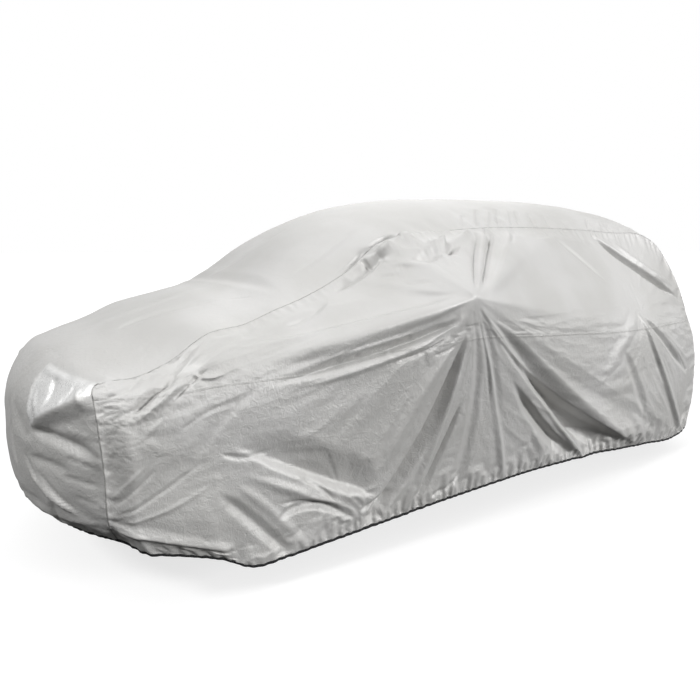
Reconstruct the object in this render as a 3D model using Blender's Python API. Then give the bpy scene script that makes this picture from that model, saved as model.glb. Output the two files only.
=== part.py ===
"""Fitted cover for a mid-size sport utility car, hanging in its true shape, hollow and open underneath.

Frame: metres, +Z up. The front faces -Y and +X is the cover's left. The origin is the point under the roof's
cloth where the cover is held up, so the ground lies MOUNT_HEIGHT below it. The tables give heights above the
ground, because that is how such a cover is measured.

The cloth is one strip from the front hem over the bonnet, screen, roof and tail to the rear hem, and two panels
on each side, joined along the belt seam. An elastic binding runs under each panel's part of the hem.
"""
import bpy
import bmesh
import numpy as np
from math import radians

# ---- driving sizes, in metres -----------------------------------------------------------------------------
MOUNT_HEIGHT = 1.707        # from the ground up to the inner face of the roof's cloth at the origin
CLOTH = 0.002               # thickness of the coated cloth with its soft backing
SEAM_GAP = 0.0003           # between two panels that are sewn together
BINDING_GAP = 0.0005        # between the cloth's edge and the elastic binding sewn under it
BINDING_WIDTH = 0.010       # height of the elastic binding below the cloth's edge
BINDING_PROUD = 0.0008      # how far the binding stands out from the cloth on each face

# ---- how finely the cloth is divided ----------------------------------------------------------------------
STRIP_SPANS = 8             # quads across the top strip
UPPER_SPANS = (3, 2)        # quads from seam to shoulder and from shoulder to belt seam
LOWER_SPANS = (4, 3, 2)     # quads from belt seam to door, door to tuck, tuck to hem
COLUMN_RUNS = ((-1.05, 13), (0.50, 22), (1.765, 10))    # far end of each run along Y, and its quads

# ---- the top strip ----------------------------------------------------------------------------------------
# One row for each section, front to rear: where its edge seam and its centre line lie, and the power of its
# crown, 2 for a round one and more for a flatter one.
STRIP_COLUMNS = ("edge_x", "edge_y", "edge_height", "centre_y", "centre_height", "crown")
STRIP = {
    "front_hem":      (0.735, -2.225, 0.285, -2.422, 0.272, 2.3),
    "front_tuck":     (0.785, -2.245, 0.372, -2.475, 0.365, 2.2),
    "bumper":         (0.805, -2.256, 0.600, -2.495, 0.580, 2.2),
    "lamp":           (0.762, -2.268, 0.868, -2.455, 0.830, 2.3),
    "lamp_top":       (0.750, -2.268, 0.892, -2.428, 0.880, 2.3),
    "front_corner":   (0.735, -2.258, 0.912, -2.395, 0.930, 2.4),
    "bonnet_lip":     (0.755, -2.115, 0.935, -2.310, 0.995, 2.4),
    "bonnet_front":   (0.765, -1.990, 0.980, -2.130, 1.055, 2.4),
    "bonnet":         (0.760, -1.819, 1.080, -1.910, 1.132, 2.4),
    "bonnet_back":    (0.730, -1.640, 1.105, -1.690, 1.196, 2.4),
    "cowl":           (0.700, -1.490, 1.150, -1.520, 1.240, 2.4),
    "screen_foot":    (0.680, -1.350, 1.190, -1.400, 1.298, 3.0),
    "screen_low":     (0.640, -1.100, 1.290, -1.250, 1.410, 3.4),
    "screen_high":    (0.602, -0.830, 1.450, -1.000, 1.545, 2.8),
    "roof_front":     (0.590, -0.660, 1.480, -0.780, 1.628, 2.5),
    "roof_rise":      (0.575, -0.440, 1.500, -0.500, 1.680, 2.3),
    "roof_mid":       (0.575, -0.150, 1.520, -0.170, 1.703, 2.2),
    "roof_top":       (0.575,  0.300, 1.527,  0.300, 1.715, 2.2),
    "roof_fall":      (0.585,  0.700, 1.518,  0.720, 1.714, 2.2),
    "roof_rear":      (0.595,  1.050, 1.502,  1.090, 1.690, 2.2),
    "roof_back":      (0.602,  1.330, 1.492,  1.380, 1.638, 2.2),
    "tail_top":       (0.615,  1.485, 1.435,  1.560, 1.548, 2.2),
    "tail_glass":     (0.645,  1.630, 1.290,  1.700, 1.350, 2.2),
    "tail_corner":    (0.690,  1.765, 1.050,  1.845, 1.060, 2.3),
    "tail_shoulder":  (0.700,  1.800, 0.970,  1.885, 0.970, 2.3),
    "tail_belt":      (0.706,  1.825, 0.890,  1.912, 0.890, 2.3),
    "rear_bumper":    (0.720,  1.875, 0.620,  1.980, 0.620, 2.3),
    "rear_tuck":      (0.705,  1.855, 0.360,  1.955, 0.360, 2.3),
    "rear_hem":       (0.640,  1.760, 0.190,  1.860, 0.200, 2.3),
}

# ---- the sides --------------------------------------------------------------------------------------------
# The lines that run along a side, top to bottom, as (y, x, height). Each starts and ends on the strip's edge,
# at the two sections named first. The belt line is a seam and the last line is the hem.
SIDE_LINES = {
    "shoulder": ("lamp_top", "tail_shoulder", (
        (-2.02, 0.855, 0.918), (-1.82, 0.872, 0.985), (-1.60, 0.882, 1.015), (-1.39, 0.882, 1.035),
        (-1.13, 0.878, 1.055), (-0.70, 0.862, 1.070), (-0.30, 0.852, 1.075), (0.30, 0.848, 1.070),
        (0.70, 0.842, 1.060), (1.20, 0.815, 1.050), (1.52, 0.768, 1.030))),
    "belt": ("lamp", "tail_belt", (
        (-2.01, 0.880, 0.875), (-1.86, 0.900, 0.890), (-1.63, 0.925, 0.900), (-1.42, 0.925, 0.910),
        (-1.18, 0.925, 0.960), (-0.82, 0.920, 0.980), (-0.58, 0.915, 0.990), (-0.23, 0.912, 0.970),
        (0.20, 0.910, 0.940), (0.68, 0.905, 0.910), (1.20, 0.875, 0.900), (1.60, 0.795, 0.895))),
    "door": ("bumper", "rear_bumper", (
        (-2.05, 0.885, 0.610), (-1.85, 0.915, 0.620), (-1.50, 0.940, 0.620), (-1.00, 0.930, 0.620),
        (0.00, 0.920, 0.620), (0.70, 0.925, 0.620), (1.20, 0.910, 0.620), (1.60, 0.835, 0.620))),
    "tuck": ("front_tuck", "rear_tuck", (
        (-2.12, 0.850, 0.330), (-2.04, 0.875, 0.290), (-1.95, 0.892, 0.258), (-1.85, 0.905, 0.216),
        (-1.72, 0.925, 0.220), (-1.40, 0.935, 0.290), (-1.10, 0.930, 0.320), (0.00, 0.905, 0.330),
        (0.70, 0.915, 0.320), (1.20, 0.905, 0.300), (1.55, 0.850, 0.290))),
    "hem": ("front_hem", "rear_hem", (
        (-2.135, 0.800, 0.255), (-2.070, 0.820, 0.240), (-1.960, 0.850, 0.210), (-1.840, 0.880, 0.175),
        (-1.740, 0.918, 0.130), (-1.565, 0.930, 0.129), (-1.400, 0.930, 0.142), (-1.200, 0.930, 0.155),
        (-0.826, 0.920, 0.173), (-0.500, 0.905, 0.180), (0.000, 0.895, 0.190), (0.700, 0.900, 0.170),
        (1.070, 0.885, 0.145), (1.480, 0.850, 0.118), (1.650, 0.780, 0.140))),
}

# ---- the cloth stretched over each door mirror ------------------------------------------------------------
# The tip that lifts the cloth, as (x, y, height), and the straight lines that leave it: the angle from +Y
# towards up in degrees, how far the line runs, and the x at which it comes down on the side.
MIRROR_TIP = (1.088, -0.655, 1.195)
MIRROR_TIP_RADIUS = 0.03
MIRROR_BLEND = 0.02
MIRROR_LINES = (
    (-26, 2.05, 0.905), (-10, 1.50, 0.900), (5, 1.30, 0.710), (15, 1.15, 0.600), (22, 0.86, 0.577),
    (35, 0.57, 0.576), (50, 0.42, 0.576), (70, 0.33, 0.583), (90, 0.295, 0.590), (110, 0.29, 0.597),
    (130, 0.325, 0.602), (150, 0.35, 0.620), (168, 0.455, 0.640), (178, 0.60, 0.660), (183, 0.78, 0.730),
    (188, 0.98, 0.830), (197, 1.10, 0.925), (205, 1.15, 0.930), (220, 1.15, 0.935), (235, 1.18, 0.930),
    (252, 1.07, 0.925), (270, 1.02, 0.910), (290, 1.08, 0.900), (305, 1.23, 0.895), (318, 1.50, 0.895),
    (334, 2.05, 0.905),
)

# ---- the main folds ---------------------------------------------------------------------------------------
# Each fold is a curve through three points with a half width and a rise at its start and at its end. A rise
# below zero is a valley. Side folds are drawn in (y, height), front and tail folds in (x, height) and roof
# folds in (x, y).
FOLD_COLUMNS = ("start", "middle", "end", "width_start", "width_end", "rise_start", "rise_end")
LEFT_FOLDS = {
    "mirror_deep_valley":   ((-0.58, 1.13), (-0.15, 0.81), (0.98, 0.22), 0.045, 0.095, -0.015, -0.060),
    "mirror_rear_ridge":    ((-0.52, 1.14), (0.13, 0.81), (1.30, 0.14), 0.045, 0.090, 0.008, 0.030),
    "mirror_front_ridge":   ((-0.55, 1.10), (-0.18, 0.76), (0.55, 0.14), 0.045, 0.060, 0.010, 0.030),
    "short_rear_valley":    ((-0.24, 0.68), (0.00, 0.45), (0.42, 0.15), 0.045, 0.060, -0.030, -0.035),
    "mirror_soft_ridge":    ((-0.63, 1.10), (-0.42, 0.62), (-0.24, 0.15), 0.045, 0.050, 0.006, 0.016),
    "thin_front_valley":    ((-0.67, 0.64), (-0.76, 0.40), (-0.90, 0.12), 0.045, 0.050, -0.020, -0.030),
    "door_ridge":           ((-0.71, 0.84), (-0.79, 0.53), (-0.98, 0.14), 0.045, 0.050, 0.010, 0.020),
    "door_deep_valley":     ((-0.72, 0.97), (-0.87, 0.63), (-1.02, 0.12), 0.045, 0.070, -0.035, -0.050),
    "wing_upper_valley":    ((-0.76, 1.20), (-1.08, 1.145), (-1.64, 1.045), 0.045, 0.050, -0.020, -0.028),
    "wing_ridge":           ((-0.74, 1.16), (-1.08, 1.08), (-1.60, 0.975), 0.045, 0.055, 0.010, 0.020),
    "wing_lower_valley":    ((-0.80, 1.075), (-1.08, 0.975), (-1.60, 0.885), 0.045, 0.050, -0.022, -0.022),
    "quarter_valley":       ((0.90, 1.46), (1.20, 1.25), (1.56, 1.09), 0.045, 0.050, -0.030, -0.034),
    "window_soft_valley":   ((0.36, 1.49), (0.53, 1.36), (0.70, 1.20), 0.045, 0.050, -0.012, -0.010),
    "rear_tip_left_ridge":  ((0.99, 1.01), (0.76, 0.88), (0.54, 0.70), 0.045, 0.060, 0.022, 0.018),
    "rear_tip_right_ridge": ((0.99, 1.01), (1.15, 0.66), (1.43, 0.20), 0.045, 0.070, 0.022, 0.022),
    "rear_tip_valley":      ((1.05, 0.96), (1.30, 0.80), (1.60, 0.57), 0.045, 0.050, -0.018, -0.022),
    "arch_valley":          ((-1.68, 0.66), (-1.40, 0.51), (-1.16, 0.38), 0.060, 0.060, -0.028, -0.034),
    "arch_ridge":           ((-1.72, 0.58), (-1.45, 0.44), (-1.24, 0.24), 0.050, 0.050, 0.020, 0.028),
    "gather_valley":        ((-1.20, 0.22), (-1.09, 0.31), (-0.99, 0.38), 0.045, 0.050, -0.034, -0.030),
    "wheel_arc_valley":     ((-1.60, 0.30), (-1.45, 0.34), (-1.26, 0.25), 0.045, 0.050, -0.020, -0.022),
    "wheel_front_valley":   ((-1.86, 0.47), (-1.72, 0.32), (-1.56, 0.12), 0.045, 0.050, -0.018, -0.024),
    "corner_ray":           ((-2.20, 0.42), (-2.05, 0.52), (-1.89, 0.62), 0.045, 0.050, -0.010, -0.012),
    "lamp_valley":          ((-2.17, 0.80), (-2.07, 0.89), (-1.98, 0.95), 0.045, 0.050, -0.024, -0.024),
    "lamp_ridge":           ((-2.12, 0.79), (-2.02, 0.87), (-1.93, 0.94), 0.045, 0.050, 0.020, 0.018),
    "lamp_second_valley":   ((-2.02, 0.84), (-1.94, 0.91), (-1.86, 0.965), 0.045, 0.050, -0.014, -0.014),
}
RIGHT_FOLDS = {
    "mirror_deep_valley":   ((-0.56, 1.12), (-0.08, 0.78), (0.80, 0.20), 0.045, 0.090, -0.015, -0.052),
    "mirror_rear_ridge":    ((-0.52, 1.13), (0.22, 0.84), (1.22, 0.24), 0.045, 0.085, 0.008, 0.028),
    "mirror_front_ridge":   ((-0.58, 1.10), (-0.26, 0.72), (0.36, 0.14), 0.045, 0.060, 0.010, 0.026),
    "short_rear_valley":    ((-0.30, 0.60), (-0.10, 0.38), (0.16, 0.15), 0.045, 0.055, -0.028, -0.030),
    "door_ridge":           ((-0.74, 0.86), (-0.86, 0.52), (-1.04, 0.14), 0.045, 0.050, 0.010, 0.020),
    "door_deep_valley":     ((-0.70, 0.90), (-0.74, 0.55), (-0.84, 0.12), 0.045, 0.070, -0.030, -0.045),
    "wing_upper_valley":    ((-0.78, 1.20), (-1.12, 1.15), (-1.58, 1.06), 0.045, 0.050, -0.018, -0.024),
    "wing_lower_valley":    ((-0.82, 1.06), (-1.14, 0.96), (-1.52, 0.90), 0.045, 0.050, -0.020, -0.018),
    "quarter_valley":       ((1.02, 1.44), (1.28, 1.25), (1.54, 1.12), 0.045, 0.050, -0.024, -0.028),
    "rear_tip_ridge":       ((1.04, 0.98), (1.20, 0.62), (1.40, 0.20), 0.045, 0.070, 0.018, 0.020),
    "arch_valley":          ((-1.76, 0.62), (-1.46, 0.50), (-1.24, 0.40), 0.060, 0.060, -0.024, -0.030),
    "gather_valley":        ((-1.26, 0.22), (-1.15, 0.33), (-1.02, 0.44), 0.045, 0.050, -0.030, -0.026),
    "corner_ray":           ((-2.20, 0.44), (-2.02, 0.55), (-1.84, 0.64), 0.045, 0.050, -0.012, -0.014),
    "lamp_valley":          ((-2.16, 0.82), (-2.04, 0.90), (-1.94, 0.97), 0.045, 0.050, -0.020, -0.020),
}
FRONT_FOLDS = {
    "lamp_bulge":           ((0.43, 0.76), (0.58, 0.80), (0.72, 0.85), 0.060, 0.060, 0.018, 0.018),
    "lamp_crease":          ((0.42, 0.69), (0.62, 0.71), (0.79, 0.67), 0.045, 0.050, -0.022, -0.024),
    "bumper_crease":        ((0.36, 0.58), (0.53, 0.585), (0.70, 0.57), 0.045, 0.050, -0.016, -0.014),
    "bumper_ridge":         ((0.34, 0.53), (0.50, 0.46), (0.69, 0.40), 0.045, 0.050, 0.014, 0.020),
    "corner_valley":        ((0.69, 0.42), (0.72, 0.48), (0.76, 0.56), 0.045, 0.050, -0.018, -0.016),
    "grille_soft_valley":   ((-0.10, 0.72), (-0.20, 0.55), (-0.30, 0.40), 0.060, 0.060, -0.010, -0.010),
    "far_lamp_crease":      ((-0.40, 0.70), (-0.60, 0.72), (-0.78, 0.68), 0.045, 0.050, -0.020, -0.020),
}
TAIL_FOLDS = {
    "plate_valley":         ((0.10, 1.00), (0.18, 0.70), (0.30, 0.30), 0.060, 0.070, -0.014, -0.022),
    "left_swag":            ((0.45, 1.15), (0.38, 0.80), (0.50, 0.30), 0.055, 0.060, -0.012, -0.020),
    "right_swag":           ((-0.40, 1.20), (-0.34, 0.85), (-0.46, 0.30), 0.060, 0.065, -0.016, -0.022),
    "centre_ridge":         ((-0.08, 1.10), (-0.10, 0.70), (-0.16, 0.30), 0.060, 0.060, 0.010, 0.014),
}
HEM_HOLD = 0.40             # how much of a fold's rise the elastic lets through at the hem
HEM_HOLD_HEIGHT = 0.10      # over this height above the hem

COLLECTION = "car_cover"
FINISH = {      # base colour, roughness, metallic
    "silver_cloth": ((0.60, 0.59, 0.58, 1.0), 0.45, 0.0),
    "black_elastic": ((0.012, 0.012, 0.013, 1.0), 0.75, 0.0),
}


# ---- curves and folds -------------------------------------------------------------------------------------
def smooth_through(knots, rows, at):
    """Value at each 'at' of the smooth line through the rows of a table, whose places along it are the knots."""
    knots = np.asarray(knots, float)
    rows = np.asarray(rows, float)
    step = np.diff(knots)[:, None]
    slope = np.diff(rows, axis=0) / step
    inner = (slope[:-1] * step[1:] + slope[1:] * step[:-1]) / (step[:-1] + step[1:])
    tangent = np.vstack([slope[:1], inner, slope[-1:]])
    at = np.clip(np.asarray(at, float), knots[0], knots[-1])
    i = np.clip(np.searchsorted(knots, at, side="right") - 1, 0, len(knots) - 2)
    width = step[i]
    f = (at - knots[i])[..., None] / width
    near = (1 + 2 * f) * (1 - f) ** 2 * rows[i] + f * (1 - f) ** 2 * width * tangent[i]
    far = f * f * (3 - 2 * f) * rows[i + 1] + f * f * (f - 1) * width * tangent[i + 1]
    return near + far


def fold_rise(fold, a, b, samples=14):
    """How far one fold lifts the cloth at the points (a, b)."""
    start, middle, end, width_start, width_end, rise_start, rise_end = fold
    f = np.linspace(0, 1, samples)[:, None]
    start, middle, end = np.array(start), np.array(middle), np.array(end)
    bend = 2 * middle - 0.5 * (start + end)
    path = (1 - f) ** 2 * start + 2 * f * (1 - f) * bend + f * f * end
    near = np.full(a.shape, np.inf)
    along = np.zeros(a.shape)
    for k in range(samples - 1):
        run = path[k + 1] - path[k]
        g = ((a - path[k, 0]) * run[0] + (b - path[k, 1]) * run[1]) / (run @ run)
        g = np.clip(g, 0, 1)
        away = np.hypot(a - path[k, 0] - g * run[0], b - path[k, 1] - g * run[1])
        closer = away < near
        near = np.where(closer, away, near)
        along = np.where(closer, (k + g) / (samples - 1), along)
    width = width_start + (width_end - width_start) * along
    rise = rise_start + (rise_end - rise_start) * along
    across = np.clip(near / width, 0, 1)
    return rise * (1 - across ** 2) ** 2


def folds_rise(folds, a, b):
    return sum(fold_rise(fold, a, b) for fold in folds.values())


# ---- the shape of the cover -------------------------------------------------------------------------------
SECTIONS = list(STRIP)
STRIP_ROWS = np.array([STRIP[name] for name in SECTIONS])
EDGE_ROWS = STRIP_ROWS[:, :3]
EDGE_KNOTS = np.concatenate([[0], np.cumsum(np.linalg.norm(np.diff(EDGE_ROWS, axis=0), axis=1))])


def station(section):
    """Distance along the strip's edge, from the front hem, at a named section."""
    return EDGE_KNOTS[SECTIONS.index(section)]


def strip_point(s, t):
    """Point of the strip at a distance s along its edge and t from -1 to 1 across it."""
    row = smooth_through(EDGE_KNOTS, STRIP_ROWS, s)
    edge_x, edge_y, edge_height, centre_y, centre_height, crown = np.moveaxis(row, -1, 0)
    rise = 1 - np.abs(t) ** crown
    y = edge_y + (centre_y - edge_y) * rise
    height = edge_height + (centre_height - edge_height) * rise
    return np.stack([edge_x * t, y, height], -1)


def side_lines(share):
    """The side's six lines at a share 0 to 1 of the way from the front corner to the tail corner."""
    lines = []
    for first, last, rows in SIDE_LINES.values():
        ends = [EDGE_ROWS[SECTIONS.index(name)][[1, 0, 2]] for name in (first, last)]
        table = np.vstack([ends[0], rows, ends[1]])
        y = table[0, 0] + (table[-1, 0] - table[0, 0]) * share
        x_height = smooth_through(table[:, 0], table[:, 1:], y)
        lines.append(np.stack([x_height[..., 0], y, x_height[..., 1]], -1))
    return lines


def mirror_cone(y, height):
    """x of the cloth stretched straight from the mirror's tip to the side."""
    tip_x, tip_y, tip_height = MIRROR_TIP
    angle, reach, end_x = np.array(MIRROR_LINES).T
    away = np.hypot(y - tip_y, height - tip_height)
    away = np.hypot(away, MIRROR_TIP_RADIUS) - MIRROR_TIP_RADIUS
    turn = np.degrees(np.arctan2(height - tip_height, y - tip_y))
    turn = np.where(turn < angle[0], turn + 360, turn)
    return tip_x + (np.interp(turn, angle, end_x) - tip_x) * away / np.interp(turn, angle, reach)


def side_grid(stations, levels):
    """Points of the left side: a column for each station of the top seam and a row for each level.

    A level is counted in lines: 0 is the top seam, 1 the shoulder, 2 the belt seam and so on to 5, the hem.
    """
    top = smooth_through(EDGE_KNOTS, EDGE_ROWS, stations)
    share = (top[:, 1] - top[0, 1]) / (top[-1, 1] - top[0, 1])
    lines = np.stack([top] + side_lines(share))
    grid = np.empty((len(stations), len(levels), 3))
    for column in range(len(stations)):
        rows = lines[:, column]
        knots = np.concatenate([[0], np.cumsum(np.linalg.norm(np.diff(rows, axis=0), axis=1))])
        grid[column] = smooth_through(knots, rows, np.interp(levels, np.arange(len(rows)), knots))
    cone = mirror_cone(grid[..., 1], grid[..., 2])
    apart = grid[..., 0] - cone
    grid[..., 0] = 0.5 * (grid[..., 0] + cone + np.hypot(apart, MIRROR_BLEND) - MIRROR_BLEND)
    return grid


def spaced(spans, first=0):
    """Levels that divide each gap between lines into its number of spans."""
    levels = [np.linspace(first + k, first + k + 1, count, endpoint=False) for k, count in enumerate(spans)]
    return np.append(np.concatenate(levels), first + len(spans))


def column_stations():
    """Stations of the side's columns, from the front corner to the tail corner."""
    corner_y, tail_y = (STRIP[name][1] for name in ("front_corner", "tail_corner"))
    ys = [corner_y]
    for far_y, count in COLUMN_RUNS:
        ys.extend(np.linspace(ys[-1], min(far_y, tail_y), count + 1)[1:])
    fine = np.linspace(station("front_corner"), station("tail_corner"), 2000)
    return np.interp(ys, smooth_through(EDGE_KNOTS, EDGE_ROWS, fine)[:, 1], fine)


class Cloth:
    """One net of points for the whole cover, in which neighbouring panels share the points of their seam."""

    def __init__(self):
        self.levels = np.concatenate([spaced(UPPER_SPANS)[:-1], spaced(LOWER_SPANS, first=2)])
        self.belt_row = sum(UPPER_SPANS)
        columns = column_stations()
        ends = (("front_corner", "lamp_top", "lamp", "bumper", "front_tuck", "front_hem"),
                ("tail_corner", "tail_shoulder", "tail_belt", "rear_bumper", "rear_tuck", "rear_hem"))
        down_front, down_rear = (
            np.interp(self.levels, np.arange(6), [station(name) for name in names]) for names in ends)
        stations = np.concatenate([down_front[:0:-1], columns, down_rear[1:]])
        across = np.linspace(-1, 1, STRIP_SPANS + 1)
        strip = strip_point(*np.meshgrid(stations, across, indexing="ij"))
        side = side_grid(columns, self.levels)
        rows = len(self.levels)
        self.strip = np.arange(strip[..., 0].size).reshape(strip.shape[:2])
        self.points = [strip.reshape(-1, 3)]
        self.sides = {}
        for name, sign, edge in (("left", 1, self.strip[:, -1]), ("right", -1, self.strip[:, 0])):
            net = np.zeros(side.shape[:2], int)
            net[0] = edge[rows - 1::-1]
            net[-1] = edge[len(edge) - rows:]
            net[:, 0] = edge[rows - 1:len(edge) - rows + 1]
            inner = side[1:-1, 1:] * (sign, 1, 1)
            first = sum(len(block) for block in self.points)
            net[1:-1, 1:] = first + np.arange(inner[..., 0].size).reshape(inner.shape[:2])
            self.points.append(inner.reshape(-1, 3))
            self.sides[name] = net
        self.points = np.concatenate(self.points)
        self.add_folds()
        self.points[:, 2] -= MOUNT_HEIGHT
        self.normals = self.point_normals()

    def nets(self):
        """Every panel's net with the sign that makes its row-by-column normal point outwards."""
        return ((self.strip, 1), (self.sides["left"], 1), (self.sides["right"], -1))

    def point_normals(self):
        """Unit normal at each point, averaged over the whole cover, seams included."""
        total = np.zeros_like(self.points)
        for net, sign in self.nets():
            p = self.points[net]
            normal = sign * np.cross(p[:-1, 1:] - p[1:, :-1], p[1:, 1:] - p[:-1, :-1])
            for ids in (net[:-1, :-1], net[1:, :-1], net[:-1, 1:], net[1:, 1:]):
                np.add.at(total, ids.ravel(), normal.reshape(-1, 3))
        return total / np.linalg.norm(total, axis=1, keepdims=True)

    def square_to(self, line, sign=1):
        """Unit vectors in the cloth, square to a line of points that runs front to rear down a side.

        They point down the side: from the strip, or from the panel above, towards the hem.
        """
        along = np.gradient(self.points[line], axis=0)
        square = sign * np.cross(along, self.normals[line])
        return square / np.linalg.norm(square, axis=1, keepdims=True)

    def add_folds(self):
        """Lift and sink the cloth along its normals by the folds of the region that a point is in."""
        normals = self.point_normals()
        x, y, height = self.points.T
        rise = np.zeros(len(x))
        inside = np.ones(len(x), bool)
        for name, folds in (("left", LEFT_FOLDS), ("right", RIGHT_FOLDS)):
            net = self.sides[name]
            above_hem = height[net] - height[net[:, -1:]]
            hold = HEM_HOLD + (1 - HEM_HOLD) * np.clip(above_hem / HEM_HOLD_HEIGHT, 0, 1)
            rise[net] = folds_rise(folds, y[net], height[net]) * hold
            inside[net] = False
        front = inside & (y < STRIP["bonnet_lip"][3]) & (height < STRIP["front_corner"][2])
        rise[front] += folds_rise(FRONT_FOLDS, x[front], height[front])
        tail = inside & (y > STRIP["tail_glass"][1])
        rise[tail] += folds_rise(TAIL_FOLDS, x[tail], height[tail])
        self.points = self.points + normals * rise[:, None]


# ---- meshes -----------------------------------------------------------------------------------------------
def finish(name):
    """Plain material of a named finish."""
    material = bpy.data.materials.get(name) or bpy.data.materials.new(name)
    colour, roughness, metallic = FINISH[name]
    material.use_nodes = True
    shader = material.node_tree.nodes["Principled BSDF"]
    shader.inputs["Base Color"].default_value = colour
    shader.inputs["Roughness"].default_value = roughness
    shader.inputs["Metallic"].default_value = metallic
    return material


def add_object(name, mesh_data, finish_name, collection):
    """Object from a bmesh whose faces are turned outwards."""
    bmesh.ops.recalc_face_normals(mesh_data, faces=mesh_data.faces)
    mesh = bpy.data.meshes.new(name)
    mesh_data.to_mesh(mesh)
    mesh_data.free()
    mesh.shade_smooth()
    mesh.set_sharp_from_angle(angle=radians(50))
    mesh.materials.append(finish(finish_name))
    collection.objects.link(bpy.data.objects.new(name, mesh))


def add_quad(mesh_data, a, b, c, d, across_ac):
    """Two triangles, split from a to c or from b to d."""
    corners = ((a, b, c), (a, c, d)) if across_ac else ((a, b, d), (b, c, d))
    for triangle in corners:
        mesh_data.faces.new(triangle)


def flatness(a, b, c, d):
    """Cosine of the bend between the triangles of quads that are split from a to c."""
    first, second = np.cross(b - a, c - a), np.cross(c - a, d - a)
    length = np.linalg.norm(first, axis=-1) * np.linalg.norm(second, axis=-1)
    return np.sum(first * second, axis=-1) / length


def add_panel(name, cloth, net, shift, collection):
    """A sewn piece: an outer and an inner skin with the cloth's thickness between, closed along its edges.

    shift moves each point of the cloth by its share of the seam gaps.
    """
    outer = cloth.points[net] + shift[net]
    inner = outer - CLOTH * cloth.normals[net]
    a, b, c, d = outer[:-1, :-1], outer[1:, :-1], outer[1:, 1:], outer[:-1, 1:]
    split = flatness(a, b, c, d) >= flatness(b, c, d, a)
    split[0, 0] = split[-1, -1] = True      # a corner is divided from its own point, so no sliver is left
    split[0, -1] = split[-1, 0] = False
    mesh_data = bmesh.new()
    skins = [[[mesh_data.verts.new(point) for point in row] for row in skin] for skin in (outer, inner)]
    rows, columns = net.shape
    for verts in skins:
        for i in range(rows - 1):
            for j in range(columns - 1):
                ring = (verts[i][j], verts[i + 1][j], verts[i + 1][j + 1], verts[i][j + 1])
                add_quad(mesh_data, *ring, split[i, j])
    rim = [(i, 0) for i in range(rows)] + [(rows - 1, j) for j in range(1, columns)]
    rim += [(i, columns - 1) for i in range(rows - 2, -1, -1)] + [(0, j) for j in range(columns - 2, 0, -1)]
    for (i, j), (k, m) in zip(rim, rim[1:] + rim[:1]):
        ring = (skins[0][i][j], skins[0][k][m], skins[1][k][m], skins[1][i][j])
        add_quad(mesh_data, *ring, net[i, j] < net[k, m])       # the same split on both sides of a seam
    add_object(name, mesh_data, "silver_cloth", collection)


def add_bindings(cloth, collection):
    """The elastic bands under the hem, one under each panel, which meet at the corner seams."""
    left, right = cloth.sides["left"], cloth.sides["right"]
    runs = {
        "front": cloth.strip[0], "left": left[:, -1], "rear": cloth.strip[-1, ::-1], "right": right[::-1, -1]}
    ring = np.concatenate([run[:-1] for run in runs.values()])
    points, normals = cloth.points[ring], cloth.normals[ring]
    along = np.roll(points, -1, axis=0) - np.roll(points, 1, axis=0)
    along /= np.linalg.norm(along, axis=1, keepdims=True)
    down = np.cross(along, normals)
    down /= np.linalg.norm(down, axis=1, keepdims=True)
    outside = points + BINDING_PROUD * normals
    inside = points - (CLOTH + BINDING_PROUD) * normals
    upper, lower = BINDING_GAP * down, (BINDING_GAP + BINDING_WIDTH) * down
    section = np.stack([outside + upper, outside + lower, inside + lower, inside + upper], axis=1)
    first = 0
    for name, run in runs.items():
        places = np.arange(first, first + len(run)) % len(ring)
        first += len(run) - 1
        corners = section[places]
        corners[0] += SEAM_GAP / 2 * along[places[0]]
        corners[-1] -= SEAM_GAP / 2 * along[places[-1]]
        mesh_data = bmesh.new()
        verts = [[mesh_data.verts.new(corner) for corner in box] for box in corners]
        for i, (box, following) in enumerate(zip(verts, verts[1:])):
            for k in range(4):
                m = (k + 1) % 4
                ring_of_four = (box[k], following[k], following[m], box[m])
                add_quad(mesh_data, *ring_of_four, run[i + 1] < run[i])
        for box in (verts[0], verts[-1]):
            add_quad(mesh_data, *box, True)
        add_object("binding_" + name, mesh_data, "black_elastic", collection)


def build():
    for old in list(bpy.data.objects):
        bpy.data.objects.remove(old, do_unlink=True)
    collection = bpy.data.collections.new(COLLECTION)
    bpy.context.scene.collection.children.link(collection)
    cloth = Cloth()
    half = SEAM_GAP / 2
    on_strip = np.zeros_like(cloth.points)
    for name, sign, edge in (("left", 1, cloth.strip[:, -1]), ("right", -1, cloth.strip[:, 0])):
        net = cloth.sides[name]
        belt = net[:, cloth.belt_row]
        from_strip = cloth.square_to(edge, sign) * half
        from_belt = cloth.square_to(belt, sign) * half
        on_strip[edge] = -from_strip
        upper_shift = np.zeros_like(cloth.points)
        upper_shift[edge] = from_strip
        lower_shift = upper_shift.copy()
        upper_shift[belt] -= from_belt
        lower_shift[belt] += from_belt
        upper, lower = net[:, :cloth.belt_row + 1], net[:, cloth.belt_row:]
        add_panel("side_upper_" + name, cloth, upper, upper_shift, collection)
        add_panel("side_lower_" + name, cloth, lower, lower_shift, collection)
    add_panel("top_panel", cloth, cloth.strip, on_strip, collection)
    add_bindings(cloth, collection)


build()
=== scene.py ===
"""A silver-grey car cover, fitted over a sport utility car and seen from its front left corner.

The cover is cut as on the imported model: one long strip over bonnet, roof and tail, an upper and a lower panel
on each side, and elastic bindings under the hem. Each side and the strip start as a smooth grid that takes
its main folds from the tables. They are relaxed as sheets slightly too large for the car, so that they buckle
as cloth does. Crisp folds, facets, crumples and gathers are put in last.
"""
from math import cos, pi, radians, sin

import bpy
import numpy as np
from mathutils import Matrix, Vector


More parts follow.
